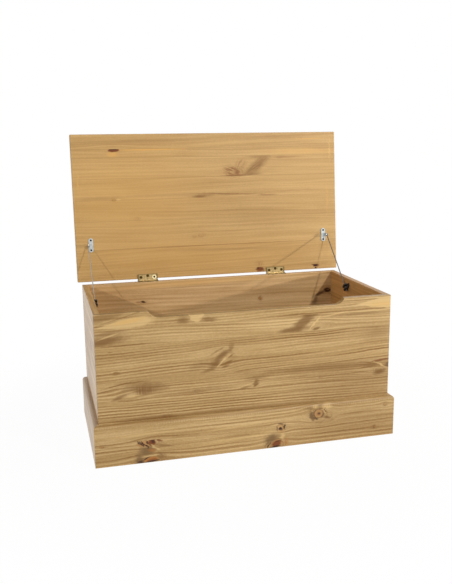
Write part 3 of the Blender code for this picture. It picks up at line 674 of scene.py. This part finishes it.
@effect(
    "Knot",
    {VALUE: ("Field", *KNOT_MASKS, *KNOT_NUMBERS)},
    {VALUE: ("Field", *KNOT_MASKS)},
)
def knot(w, given):
    """One knot: the grain parts round it, and masks give its wood, heart, bark and halo."""
    along = w.minus(given["Along"], given["Centre Along"])
    across = w.minus(given["Across"], given["Centre Across"])
    far_along = w.over(along, w.times(given["Radius"], given["Stretch"]))
    far_across = w.over(across, given["Radius"])
    # How many radii away from the knot's middle a point lies.
    wobble = w.scaled(given["Wobble"], 0.6, 0.7)
    away = w.times(w.measure("LENGTH", w.join(far_along, far_across)), wobble)
    rings = w.scaled(w.maths("SINE", w.times(away, 17.0)), 0.22, 0.78)
    broken = w.ramp(given["Breaks"], 0.38, 0.6, 0.25)
    rim = w.times(w.ramp(away, 0.72, 0.92), w.ramp(away, 1.25, 1.0))
    arcs = w.times(w.ramp(w.maths("SINE", w.times(away, 11.0)), 0.1, 0.9), broken)
    arcs = w.times(arcs, w.times(w.ramp(away, 1.0, 1.2), w.ramp(away, 2.6, 1.5)))
    around = w.maths("EXPONENT", w.times(w.maths("POWER", away, 2.0), -0.2))
    made = {
        "Core": w.times(w.ramp(away, 1.05, 0.85), rings, given["Core Strength"]),
        "Heart": w.times(w.ramp(away, 0.42, 0.12), given["Core Strength"]),
        "Bark": w.times(rim, broken, given["Bark Strength"]),
        "Halo": w.times(w.plus(w.times(around, 0.4), arcs), given["Halo Strength"]),
    }
    masks = {name: w.most(given[name], made[name]) for name in KNOT_MASKS}
    # The grain bends further along the board than across it.
    far = w.join(w.over(far_along, given["Reach"]), w.times(far_across, 0.55))
    pull = w.maths("EXPONENT", w.times(w.maths("POWER", w.measure("LENGTH", far), 2.0), -1.0))
    return {"Field": w.minus(given["Field"], w.times(across, pull, given["Bend"])), **masks}


def turned(w, along, across, angle):
    """A place on the board, measured along and across a line at this angle."""
    cosine, sine = w.maths("COSINE", angle), w.maths("SINE", angle)
    first = w.plus(w.times(along, cosine), w.times(across, sine))
    second = w.minus(w.times(across, cosine), w.times(along, sine))
    return first, second


FIGURE_NUMBERS = (
    "Along", "Across", "Centre Along", "Centre Across", "Long", "Wide", "Turn", "Amount",
    "Softness", "Taper", "Ragged", "Wobble", "Strokes",
)


@effect(
    "Wood Figure", {COLOUR: ("Color", "Tint"), VALUE: FIGURE_NUMBERS}, {COLOUR: ("Color",)}
)
def figure(w, given):
    """One patch of tint, an oval that may taper to one end: mostly tinted wood, and on some boards
    painted shade and painted light.
    """
    along = w.minus(given["Along"], given["Centre Along"])
    across = w.minus(given["Across"], given["Centre Across"])
    first, second = turned(w, along, across, given["Turn"])
    steady = w.scaled(given["Ragged"], -0.5, 1.0)
    wobble = w.scaled(given["Wobble"], given["Ragged"], steady)
    reach = w.over(first, given["Long"])
    narrowed = w.most(w.scaled(reach, given["Taper"], 1.0), 0.03)
    rise = w.over(second, w.times(given["Wide"], narrowed))
    squares = [w.maths("POWER", w.maths("ABSOLUTE", part), 2.0) for part in (reach, rise)]
    away = w.times(w.maths("SQRT", w.plus(*squares)), wobble)
    outside = w.plus(1.0, w.times(given["Softness"], 0.35))
    mask = w.ramp(away, outside, w.minus(1.0, given["Softness"]))
    mask = w.times(mask, given["Strokes"], given["Amount"])
    return {"Color": w.mix(mask, given["Color"], given["Tint"])}


@effect("Stave Cut", {VALUE: ("Across", "Low", "High", "Strokes")}, {VALUE: ("Strokes",)})
def stave_cut(w, given):
    """A mask that ends where the stave does, at a low edge and a high one."""
    half = metres(0.5)
    above = w.ramp(w.minus(given["Across"], given["Low"]), -half, half)
    below = w.ramp(w.minus(given["High"], given["Across"]), -half, half)
    return {"Strokes": w.times(above, below, given["Strokes"])}


@effect("Hatching", {VALUE: ("Along", "Across", "Turn", "Amount")}, {VALUE: ("Strokes",)})
def hatching(w, given):
    """A mask of fine strokes that slant across the board."""
    run, step = turned(w, given["Along"], given["Across"], given["Turn"])
    strokes = w.stretched((run, 25.0), (step, 260.0), detail=1.0)
    gaps = w.times(given["Amount"], w.ramp(strokes, 0.62, 0.4))
    return {"Strokes": w.minus(1.0, gaps)}


@effect(
    "Pine Grain",
    {
        VECTOR: ("Place",),
        COLOUR: ("Early", "Late", "Streak"),
        VALUE: ("Field", "Stave", "Seed", "End Grain", "Gap", "Lines", "Cloud", "Contrast"),
    },
    {COLOUR: ("Color",), VALUE: ("Height", "Dryness")},
)
def pine_grain(w, given):
    """Growth rings, streaks, clouding and fibre of sawn pine, along the board's own grain field."""
    along, across, through = w.split(given["Place"])
    chosen = w.scaled(given["Stave"], 7.31, given["Seed"])
    first, second, third = w.split(w.scatter(chosen)["Color"])

    # The field leans, sways and shivers in each stave, and is cut through at a slant.
    grain = w.scaled(along, w.times(w.minus(first, 0.5), 0.045), given["Field"])
    sway = w.stretched((along, 2.2), (across, 5.0), chosen, detail=1.0)
    shiver = w.stretched((along, 16.0), (across, 50.0), chosen)
    grain = w.swayed(w.swayed(grain, shiver, 0.003), sway, 0.022)
    grain = w.scaled(second, 3.0, w.scaled(through, 0.55, grain))

    def drawn(run, rise, level, detail, roughness=0.5):
        """A noise drawn out along the grain."""
        parts = (along, run), (grain, rise), w.plus(chosen, level)
        return w.stretched(*parts, detail=detail, roughness=roughness)

    broad = drawn(1.0, 34.0, 0.0, 3.0, 0.6)
    fine = drawn(3.0, 190.0, 5.0, 2.0)
    spacing = drawn(1.4, 16.0, 9.0, 1.0)

    # Each growth ring darkens slowly, ends sharply and has a pale edge behind it.
    phase = w.plus(w.over(grain, given["Gap"]), w.times(spacing, 2.4))
    turn, ring = w.maths("FRACT", phase), w.maths("FLOOR", phase)
    dark = w.times(w.ramp(turn, 0.3, 0.8), w.ramp(turn, 1.0, 0.85))
    light = w.times(w.ramp(turn, 0.0, 0.15), w.ramp(turn, 0.5, 0.2), 0.5)
    strength = w.scatter(w.scaled(ring, 1.37, chosen))["Value"]
    fading = w.stretched((along, 3.4), (ring, 3.1), chosen)
    strength = w.times(w.ramp(strength, -0.2, 0.8), w.ramp(fading, 0.3, 0.62, 0.15))
    line = w.times(w.minus(dark, light), strength, given["Lines"])

    cloud = w.stretched((along, 6.0), (across, 22.0), chosen, detail=3.0)
    fibre = w.stretched((along, 55.0), (given["Field"], 1400.0), (through, 1400.0), detail=1.0)
    mottle = w.stretched((along, 160.0), (across, 320.0), (through, 320.0))
    depth = w.swayed(w.swayed(0.42, broad, 1.0), fine, 1.0)
    depth = w.swayed(w.swayed(depth, cloud, given["Cloud"]), third, 0.22)
    depth = w.plus(w.swayed(w.swayed(depth, fibre, 0.3), mottle, 0.55), line)
    depth = w.scaled(w.minus(depth, 0.4), given["Contrast"], 0.4)
    depth = w.scaled(given["End Grain"], 0.25, depth)
    wood = w.mix(w.slope(depth, 0.0, 0.55), given["Early"], given["Late"])
    wood = w.mix(w.slope(depth, 0.55, 1.25), wood, given["Streak"])
    height = w.plus(w.times(fibre, 0.5), w.times(line, 0.5))
    return {"Color": wood, "Height": height, "Dryness": depth}


@effect(
    "Rubbed Edge",
    {VECTOR: ("Place", "Middle", "Half Size"), VALUE: ("Width",)},
    {VALUE: ("Edge",)},
)
def rubbed_and_lit_edge(w, given):
    """A mask along the arrises of a box-shaped board, broken up as handling leaves them; the paleness
    it gives is partly rubbed wear and partly a painted highlight.
    """
    inside = w.vector("ABSOLUTE", w.vector("SUBTRACT", given["Place"], given["Middle"]))
    x, y, z = w.split(w.vector("SUBTRACT", given["Half Size"], inside))
    low, high = w.maths("MINIMUM", x, y), w.most(x, y)
    second = w.most(low, w.maths("MINIMUM", high, z))
    uneven = w.times(given["Width"], w.scaled(w.noise(given["Place"], 45.0, 3.0), 1.6, 0.2))
    return {"Edge": w.ramp(second, uneven, 0.0)}


@effect(
    "Metal Wear",
    {VECTOR: ("Point",), VALUE: ("Stain Scale", "Scratch Scale")},
    {VALUE: ("Stain", "Scratch")},
)
def metal_wear(w, given):
    """Stains, and scratches that run along X."""
    coarse = given["Stain Scale"]
    stain = w.vector("MULTIPLY", given["Point"], w.join(coarse, coarse, coarse))
    fine = w.times(given["Scratch Scale"], 9.0)
    scratches = w.join(given["Scratch Scale"], fine, fine)
    scratch = w.noise(w.vector("MULTIPLY", given["Point"], scratches))
    return {"Stain": w.ramp(w.noise(stain, 1.0, 4.0, 0.6), 0.42, 0.7), "Scratch": scratch}


# Materials.


def new_tree(tree):
    """The wiring of a tree whose nodes have been cleared away."""
    tree.nodes.clear()
    return Wiring(tree)


def new_material(name):
    """A new material, its wiring and its surface shader."""
    material = bpy.data.materials.new(name)
    material.use_nodes = True
    w = new_tree(material.node_tree)
    shader = w.node("ShaderNodeBsdfPrincipled")
    w.node("ShaderNodeOutputMaterial", {"Surface": shader.outputs[0]})
    return material, w, shader


def finish_surface(w, shader, shade, roughness, height, strength, relief):
    """Gives a surface shader its colour, its roughness and its relief."""
    raised = {"Strength": strength, "Distance": relief, "Height": height}
    bump = w.node("ShaderNodeBump", raised).outputs[0]
    for name, value in (("Base Color", shade), ("Roughness", roughness), ("Normal", bump)):
        w.feed(shader.inputs[name], value)


def dress(names, material):
    """Gives CAD nodes this material."""
    for name in names:
        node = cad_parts.get(name)
        if node is None:
            raise RuntimeError(f"the frame holds no piece named {name}")
        node.data.materials.clear()
        node.data.materials.append(material)


def board_box(board):
    """A board's middle and half its size, measured along, across and through it."""
    origin, *ways = board.axes
    corners = [
        [sum(a * (b - c) for a, b, c in zip(way, corner, origin)) for way in ways]
        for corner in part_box(board.nodes[0])
    ]
    middle = [(a + b) / 2 for a, b in zip(*corners)]
    half = [abs(a - b) / 2 for a, b in zip(*corners)]
    if board.axes is LEANING:
        # The frame's box stands upright round the lid, so its depth and thickness are given.
        middle[1:], half[1:] = LID_HALF, LID_HALF
    return middle, half


def set_knots(w, board, here, noises):
    """The grain field and the masks that a board's knots make."""
    field, masks = here["Across"], dict.fromkeys(KNOT_MASKS, 0.0)
    for spot in board.knots:
        made = knot(w, {
            **here, **noises, **masks, "Field": field,
            "Centre Along": metres(spot.along), "Centre Across": metres(spot.across),
            "Radius": metres(spot.radius), "Stretch": spot.stretch, "Reach": spot.reach,
            "Bend": spot.bend, "Core Strength": spot.core, "Bark Strength": spot.bark,
            "Halo Strength": spot.halo,
        })
        field, masks = made["Field"], {name: made[name] for name in KNOT_MASKS}
    return field, masks


def draw_figures(w, board, pine, shade, here, wobble):
    """The wood's colour with a board's patches drawn over it."""
    run, rise = here["Along"], here["Across"]
    drift = w.stretched((run, 28.0), (rise, 130.0), board.seed)
    drawn = {"Along": w.swayed(run, drift, 0.018), "Across": w.swayed(rise, drift, 0.0045)}
    for patch in board.figures:
        strokes = 1.0
        if patch.hatch:
            slant = {**here, "Turn": math.radians(patch.hatch_turn), "Amount": patch.hatch}
            strokes = hatching(w, slant)["Strokes"]
        if patch.low > -PAST_EDGE or patch.high < PAST_EDGE:
            edges = {"Low": metres(patch.low), "High": metres(patch.high)}
            strokes = stave_cut(w, {"Across": rise, **edges, "Strokes": strokes})["Strokes"]
        shade = figure(w, {
            **drawn, "Color": shade, "Tint": getattr(pine, patch.tint),
            "Centre Along": metres(patch.along), "Centre Across": metres(patch.across),
            "Long": metres(patch.long), "Wide": metres(patch.wide),
            "Turn": math.radians(patch.turn), "Amount": patch.amount,
            "Softness": patch.soft, "Taper": patch.taper, "Ragged": patch.ragged,
            "Wobble": wobble, "Strokes": strokes,
        })["Color"]
    return shade


# The heights where a cutter's marks fade in and out, in millimetres.
MARKS_LOW = (106, 110)
MARKS_HIGH = (117, 113)
MARKS_BEAT = 900.0


def cutter_marks(w, board, run, rise):
    """A mask of the short marks that a moulding cutter left under a rounded edge."""
    beat = w.scaled(w.noise(w.join(run), 9.0), 9.0, w.times(run, MARKS_BEAT))
    low, high = (w.ramp(rise, *map(metres, edge)) for edge in (MARKS_LOW, MARKS_HIGH))
    band = w.times(low, high)
    band = w.times(band, w.ramp(w.noise(w.join(run), 5.0), 0.35, 0.55))
    return w.times(band, w.ramp(w.maths("SINE", beat), 0.1, 0.8), board.chatter)


SEAM_DARKNESS = 0.35
HALO_DARKNESS = 0.8
MARKS_DARKNESS = 0.3
MARKS_DEPTH = 0.6
PALE_EDGE_WIDTH = metres(3.5)
RUB_AND_HIGHLIGHT_PALENESS = 0.12
GRAIN_BUMP = 0.5
COAT_ROUGHNESS = 0.34
WOOD_GLOSS = 0.32


def pine_material(board, pine):
    """Waxed pine, cut and glued as this board is."""
    material, w, shader = new_material("waxed_" + board.nodes[0])
    where = w.node("ShaderNodeTexCoord").outputs
    noises = {
        "Wobble": w.noise(where["Object"], 80.0),
        "Breaks": w.noise(where["Object"], 75.0, 1.0),
    }
    axes = dict(zip(("Origin", "Along", "Across", "Through"), board.axes))
    lie = board_axes(w, {"Point": where["Object"], "Normal": where["Normal"], **axes})
    run, rise, _ = w.split(lie["Place"])
    here = {"Along": run, "Across": rise}

    stave, line = 0.0, 0.0
    for seam in board.seams:
        joint = {"Across": rise, "At": metres(seam), "Stave": stave, "Line": line}
        stave, line = glue_seam(w, joint).values()
    field, masks = set_knots(w, board, here, noises)
    grain = pine_grain(w, {
        "Place": lie["Place"], "Field": field, "Stave": stave, "Seed": board.seed,
        "End Grain": lie["End Grain"], "Early": pine.early, "Late": pine.late,
        "Streak": pine.streak, "Gap": metres(board.gap), "Lines": board.lines,
        "Cloud": board.cloud, "Contrast": board.contrast,
    })

    shade, height = grain["Color"], grain["Height"]
    if board.knots:
        shade = w.mix(w.times(masks["Halo"], HALO_DARKNESS), shade, pine.dusk)
        shade = w.mix(masks["Core"], shade, pine.core)
        shade = w.mix(masks["Heart"], shade, pine.rust)
        shade = w.mix(masks["Bark"], shade, pine.bark)
    shade = draw_figures(w, board, pine, shade, here, noises["Wobble"])
    shade = w.mix(w.times(line, SEAM_DARKNESS), shade, pine.dusk)
    # The stain tints the whole board; on the back, the left boards and the right side it also paints
    # in light.
    shade = w.vector("MULTIPLY", shade, board.stain)
    middle, half = board_box(board)
    # Paler arrises: partly rubbed wear, partly a painted highlight where the eased edges catch the
    # light.
    edges = {"Place": lie["Place"], "Middle": middle, "Half Size": half, "Width": PALE_EDGE_WIDTH}
    shade = w.mix(w.times(rubbed_and_lit_edge(w, edges)["Edge"], RUB_AND_HIGHLIGHT_PALENESS), shade, pine.pale)
    if board.chatter:
        marks = cutter_marks(w, board, run, rise)
        shade = w.mix(w.times(marks, MARKS_DARKNESS), shade, pine.dusk)
        height = w.minus(height, w.times(marks, MARKS_DEPTH))
    roughness = w.slope(grain["Dryness"], 0.0, 1.2, pine.wax - 0.04, pine.wax + 0.1)
    finish_surface(w, shader, shade, roughness, height, GRAIN_BUMP, pine.relief)
    w.feed(shader.inputs["Coat Weight"], min(1.0, pine.polish * board.shine))
    w.feed(shader.inputs["Coat Roughness"], COAT_ROUGHNESS)
    w.feed(shader.inputs["Specular IOR Level"], WOOD_GLOSS)
    return material


METAL_BUMP = 0.3
METAL_RELIEF = metres(0.03)
STAIN_SCALE = 300.0
LEAF_STAIN_SCALE = 180.0
SCRATCH_SCALE = 260.0
WIRE_SCRATCH_SCALE = 900.0
# Where a hinge leaf's rim stain, its painted shade round the screws and its painted highlight round
# the last screw begin and end, in millimetres.
RIM_STAIN = (16.5, 19.5)
SCREW_SHADE_RING = (6, 4)
GLINT_RING = (8.5, 5.5)


def metal_material(
    name, base, stain, roughness, stained, scratch_scale=SCRATCH_SCALE, metallic=1.0, specular=0.5
):
    """Metal with stains and fine scratches."""
    material, w, shader = new_material(name)
    point = w.node("ShaderNodeTexCoord").outputs["Object"]
    scales = {"Stain Scale": STAIN_SCALE, "Scratch Scale": scratch_scale}
    wear = metal_wear(w, {"Point": point, **scales})
    shade = w.mix(w.times(wear["Stain"], stained), base, stain)
    gloss = w.slope(wear["Scratch"], 0.2, 0.8, roughness - 0.07, roughness + 0.12)
    finish_surface(w, shader, shade, gloss, wear["Scratch"], METAL_BUMP, METAL_RELIEF)
    w.feed(shader.inputs["Metallic"], metallic)
    w.feed(shader.inputs["Specular IOR Level"], specular)
    return material


def screw_seat(leaf, number):
    """The middle of a screw's head, on the face of its leaf."""
    low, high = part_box(leaf.replace("leaf", f"screw_{number}"))
    x, y, z = [(a + b) / 2 for a, b in zip(low, high)]
    return (x, low[1], z) if "lid" in leaf else (x, y, high[2])


def leaf_material(leaf, metal):
    """Thin plated brass: tarnished towards its rim, with dark rings of painted shade where the screws
    sit.
    """
    material, w, shader = new_material("plated_" + leaf)
    point = w.node("ShaderNodeTexCoord").outputs["Object"]
    scales = {"Stain Scale": LEAF_STAIN_SCALE, "Scratch Scale": SCRATCH_SCALE}
    wear = metal_wear(w, {"Point": point, **scales})
    low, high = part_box(leaf)
    long = high[0] - low[0]
    run = w.maths("ABSOLUTE", w.minus(w.split(point)[0], (low[0] + high[0]) / 2))
    ends = w.ramp(run, 0.35 * long, 0.5 * long)
    stain = w.most(w.times(wear["Stain"], 0.5), w.times(ends, 0.85))
    pin_low, pin_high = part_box(leaf.split("_hinge")[0] + "_hinge_pin")
    pin = [(a + b) / 2 for a, b in zip(pin_low, pin_high)]
    from_pin = w.vector("MULTIPLY", w.vector("SUBTRACT", point, pin), (0, 1, 1))
    rim = w.ramp(w.measure("LENGTH", from_pin), *map(metres, RIM_STAIN), 0.0, 0.8)
    stain = w.most(stain, rim)
    # Painted shade: a dark ring round each screw, where its countersink lies in shade; it joins the
    # tarnish in one mask.
    for number in (1, 2, 3):
        away = w.measure("DISTANCE", point, screw_seat(leaf, number))
        stain = w.most(stain, w.ramp(away, *map(metres, SCREW_SHADE_RING)))
    shade = w.mix(stain, metal.brass, metal.tarnish)
    if leaf == "left_hinge_lid_leaf":
        # A painted highlight: near-white round the last screw, where the lamps' reflection shows.
        shade = w.mix(w.ramp(away, *map(metres, GLINT_RING)), shade, metal.painted_glint)
    gloss = w.slope(wear["Scratch"], 0.2, 0.8, 0.34, 0.5)
    finish_surface(w, shader, shade, gloss, wear["Scratch"], METAL_BUMP, METAL_RELIEF)
    w.feed(shader.inputs["Metallic"], 0.9)
    return material


PLASTIC_BUMP = 0.4
PLASTIC_RELIEF = metres(0.04)


def plastic_material(name, metal):
    """Dark moulded plastic with a fine spark-eroded surface and a little dust."""
    material, w, shader = new_material(name)
    point = w.node("ShaderNodeTexCoord").outputs["Object"]
    grain = w.noise(point, 2600.0, 2.0)
    dust = w.ramp(w.noise(point, 500.0, 3.0), 0.5, 0.8)
    shade = w.mix(w.times(dust, 0.2), metal.plastic, metal.dust)
    gloss = w.slope(grain, 0.3, 0.7, 0.42, 0.58)
    finish_surface(w, shader, shade, gloss, grain, PLASTIC_BUMP, PLASTIC_RELIEF)
    return material


# Operators.


class BoardOperator:
    """Gives boards their wood."""

    bl_options = {"REGISTER", "UNDO"}
    boards = ()

    def execute(self, context):
        for board in self.boards:
            dress(board.nodes, pine_material(board, context.scene.trunk_pine))
        return {"FINISHED"}


class TRUNK_OT_front(BoardOperator, bpy.types.Operator):
    """Front panel with its finger grip."""

    bl_idname = "trunk.front"
    bl_label = "Front Panel"
    boards = (FRONT,)


class TRUNK_OT_sides(BoardOperator, bpy.types.Operator):
    """Left and right side panels."""

    bl_idname = "trunk.sides"
    bl_label = "Side Panels"
    boards = (LEFT_SIDE, RIGHT_SIDE)


class TRUNK_OT_back(BoardOperator, bpy.types.Operator):
    """Back panel."""

    bl_idname = "trunk.back"
    bl_label = "Back Panel"
    boards = (BACK,)


class TRUNK_OT_base(BoardOperator, bpy.types.Operator):
    """Base panel and the battens under it."""

    bl_idname = "trunk.base"
    bl_label = "Base and Battens"
    boards = (BASE, LONG_BATTENS, SHORT_BATTENS)


class TRUNK_OT_plinth(BoardOperator, bpy.types.Operator):
    """Three rounded plinth boards."""

    bl_idname = "trunk.plinth"
    bl_label = "Plinth"
    boards = (PLINTH_FRONT, PLINTH_LEFT, PLINTH_RIGHT)


class TRUNK_OT_lid(BoardOperator, bpy.types.Operator):
    """Lid, glued up from staves."""

    bl_idname = "trunk.lid"
    bl_label = "Lid"
    boards = (LID,)


def named(*words):
    """The frame's pieces whose names hold one of these words."""
    return [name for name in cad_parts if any(word in name for word in words)]


class TRUNK_OT_hinges(bpy.types.Operator):
    """Brass hinges with their pins and screws."""

    bl_idname = "trunk.hinges"
    bl_label = "Hinges"

    def execute(self, context):
        metal = context.scene.trunk_metal
        for leaf in named("_leaf"):
            dress([leaf], leaf_material(leaf, metal))
        pins = metal_material(
            "brass_pin", metal.brass, metal.tarnish, roughness=0.36, stained=0.75
        )
        # The screws' dark base colour is painted shade of their countersinks, with a patina stain over
        # it.
        screws = metal_material(
            "hinge_screws", metal.shaded_screw_brass, metal.patina, roughness=0.4, stained=0.6
        )
        dress(named("_hinge_pin"), pins)
        dress(named("_lid_screw", "_rim_screw"), screws)
        return {"FINISHED"}


class TRUNK_OT_stays(bpy.types.Operator):
    """Lid stays: brackets, rods, guides and their screws."""

    bl_idname = "trunk.stays"
    bl_label = "Lid Stays"

    def execute(self, context):
        metal = context.scene.trunk_metal
        zinc = metal_material(
            "zinc_plate", metal.zinc, metal.dull, roughness=0.36, stained=0.4, metallic=0.9
        )
        black = metal_material(
            "black_screws", metal.black, metal.bloom,
            roughness=0.7, stained=0.4, metallic=0.0, specular=0.12,
        )
        # The screws and rivets are named after what they hold, and are dressed last.
        dress(named("_stay_bracket"), zinc)
        # One drawn steel in two tones: a painted reflection makes the left wire pale, and painted
        # shade makes the right one dark.
        for side, tint in (("left", metal.bright), ("right", metal.steel)):
            wire = metal_material(
                side + "_drawn_wire", tint, metal.dull,
                roughness=0.3, stained=0.3, scratch_scale=WIRE_SCRATCH_SCALE,
            )
            dress(named(side + "_stay_rod", side + "_stay_pivot"), wire)
        dress(named("_stay_guide"), plastic_material("guide_plastic_dark", metal))
        dress(named("_bracket_screw", "_guide_screw", "_guide_rivet"), black)
        return {"FINISHED"}


# The studio. Places and sizes are in metres, and the camera stands where the photograph's did.
LAMPS = (
    ("key", (2.29, -3.77, 3.27), 0.2),
    ("fill", (-3.3, -3.3, 1.8), 0.08),
    ("side", (2.8, -0.9, 0.85), 0.08),
)
LAMP_TARGET = (0, 0, 0.4)
FLOOR_REACH = 12
FLOOR_DROP = 0.0002
SHADOW_END = 1.15
SHADOW_FULL = 0.6
CAMERA_PLACE = (-0.56190, -2.180826, 0.88808)
CAMERA_RIGHT = (0.968267, -0.249656, -0.011475)
CAMERA_UP = (0.062303, 0.196663, 0.978490)
CAMERA_BACK = (-0.242029, -0.948154, 0.205977)
SENSOR = 36
PIXELS_HIGH = 584
FOCAL_PIXELS = 744.33
WHITE = (1, 1, 1)


class TRUNK_OT_stage(bpy.types.Operator):
    """Floor, surroundings, lamps and camera."""

    bl_idname = "trunk.stage"
    bl_label = "Studio"

    def execute(self, context):
        studio = context.scene.trunk_studio
        self.lay_floor(context, studio)
        self.light_surroundings(context, studio)
        for name, place, size in LAMPS:
            self.add_lamp(context, name + "_lamp", getattr(studio, name), place, size)
        self.set_camera(context)
        context.scene.view_settings.view_transform = "Standard"
        return {"FINISHED"}

    def add_lamp(self, context, name, power, place, size):
        """A round soft lamp that faces the trunk."""
        light = bpy.data.lights.new(name, "AREA")
        light.shape = "DISK"
        light.size = size
        light.energy = power
        lamp = bpy.data.objects.new(name, light)
        lamp.location = place
        aim = Vector(LAMP_TARGET) - Vector(place)
        lamp.rotation_euler = aim.to_track_quat("-Z", "Y").to_euler()
        lamp.visible_camera = False
        context.scene.collection.objects.link(lamp)

    def seen_directly(self, w):
        """1 for what the camera sees, and for what gloss and glass show."""
        path = w.node("ShaderNodeLightPath").outputs
        return path["Is Camera Ray"], w.most(path["Is Glossy Ray"], path["Is Transmission Ray"])

    def lay_floor(self, context, studio):
        """A matt floor that shows white, with its shadows softened for the camera."""
        near, far = -FLOOR_REACH, FLOOR_REACH
        mesh = bpy.data.meshes.new("studio_floor")
        corners = [(near, near, 0), (far, near, 0), (far, far, 0), (near, far, 0)]
        mesh.from_pydata(corners, [], [(0, 1, 2, 3)])
        floor = bpy.data.objects.new("studio_floor", mesh)
        floor.location.z = -FLOOR_DROP
        context.scene.collection.objects.link(floor)
        material = bpy.data.materials.new("studio_floor")
        material.use_nodes = True
        w = new_tree(material.node_tree)
        point = w.node("ShaderNodeTexCoord").outputs["Object"]
        away = w.measure("LENGTH", point)
        shadow = w.ramp(away, SHADOW_END, SHADOW_FULL, 0.0, studio.shadow)
        camera, other = self.seen_directly(w)
        glow = w.most(w.times(camera, w.minus(1.0, shadow)), other)
        paint = w.mix(w.noise(point, 30.0), studio.floor, [0.98 * part for part in studio.floor])
        matt = w.node("ShaderNodeBsdfDiffuse", {"Color": paint})
        white = w.node("ShaderNodeEmission", {"Color": WHITE, "Strength": 1.0})
        layers = {0: glow, 1: matt.outputs[0], 2: white.outputs[0]}
        blend = w.node("ShaderNodeMixShader", layers).outputs[0]
        w.node("ShaderNodeOutputMaterial", {"Surface": blend})
        mesh.materials.append(material)

    def light_surroundings(self, context, studio):
        """Soft light, brighter from the walls and the left, behind a white backdrop."""
        world = bpy.data.worlds.new("studio_surroundings")
        context.scene.world = world
        world.use_nodes = True
        w = new_tree(world.node_tree)
        camera, other = self.seen_directly(w)
        right, _, height = w.split(w.node("ShaderNodeTexCoord").outputs["Generated"])
        level = w.ramp(height, 0.05, 0.6, studio.walls, studio.ceiling)
        level = w.times(level, w.slope(right, -0.9, 0.9, 1.4, 0.6))
        soft = w.node("ShaderNodeBackground", {"Color": WHITE, "Strength": level})
        white = w.node("ShaderNodeBackground", {"Color": WHITE, "Strength": 1.0})
        layers = {0: w.most(camera, other), 1: soft.outputs[0], 2: white.outputs[0]}
        blend = w.node("ShaderNodeMixShader", layers).outputs[0]
        w.node("ShaderNodeOutputWorld", {"Surface": blend})

    def set_camera(self, context):
        lens = bpy.data.cameras.new("camera")
        lens.sensor_width = SENSOR
        lens.lens = SENSOR * FOCAL_PIXELS / PIXELS_HIGH
        lens.clip_start = 0.05
        camera = bpy.data.objects.new("camera", lens)
        turn = Matrix((CAMERA_RIGHT, CAMERA_UP, CAMERA_BACK)).transposed().to_4x4()
        camera.matrix_world = Matrix.Translation(CAMERA_PLACE) @ turn
        context.scene.collection.objects.link(camera)
        context.scene.camera = camera


PIECES = (
    TRUNK_OT_front,
    TRUNK_OT_sides,
    TRUNK_OT_back,
    TRUNK_OT_base,
    TRUNK_OT_plinth,
    TRUNK_OT_lid,
    TRUNK_OT_hinges,
    TRUNK_OT_stays,
    TRUNK_OT_stage,
)
SETTINGS = {
    "trunk_pine": PineSettings,
    "trunk_metal": MetalSettings,
    "trunk_studio": StudioSettings,
}


class TRUNK_PT_panel(bpy.types.Panel):
    """Lists the trunk's settings and its pieces."""

    bl_label = "Storage Trunk"
    bl_space_type = "VIEW_3D"
    bl_region_type = "UI"
    bl_category = "Trunk"

    def draw(self, context):
        for holder, kind in SETTINGS.items():
            box = self.layout.box()
            box.label(text=kind.__doc__)
            for name in kind.__annotations__:
                box.prop(getattr(context.scene, holder), name)
        for piece in PIECES:
            self.layout.operator(piece.bl_idname)


CLASSES = (*SETTINGS.values(), *PIECES, TRUNK_PT_panel)


def register():
    for made in CLASSES:
        bpy.utils.register_class(made)
    for holder, kind in SETTINGS.items():
        setattr(bpy.types.Scene, holder, bpy.props.PointerProperty(type=kind))


def unregister():
    for holder in SETTINGS:
        delattr(bpy.types.Scene, holder)
    for made in reversed(CLASSES):
        bpy.utils.unregister_class(made)


def main():
    register()
    bpy.ops.trunk.front()
    bpy.ops.trunk.sides()
    bpy.ops.trunk.back()
    bpy.ops.trunk.base()
    bpy.ops.trunk.plinth()
    bpy.ops.trunk.lid()
    bpy.ops.trunk.hinges()
    bpy.ops.trunk.stays()
    bpy.ops.trunk.stage()


if __name__ == "__main__":
    main()
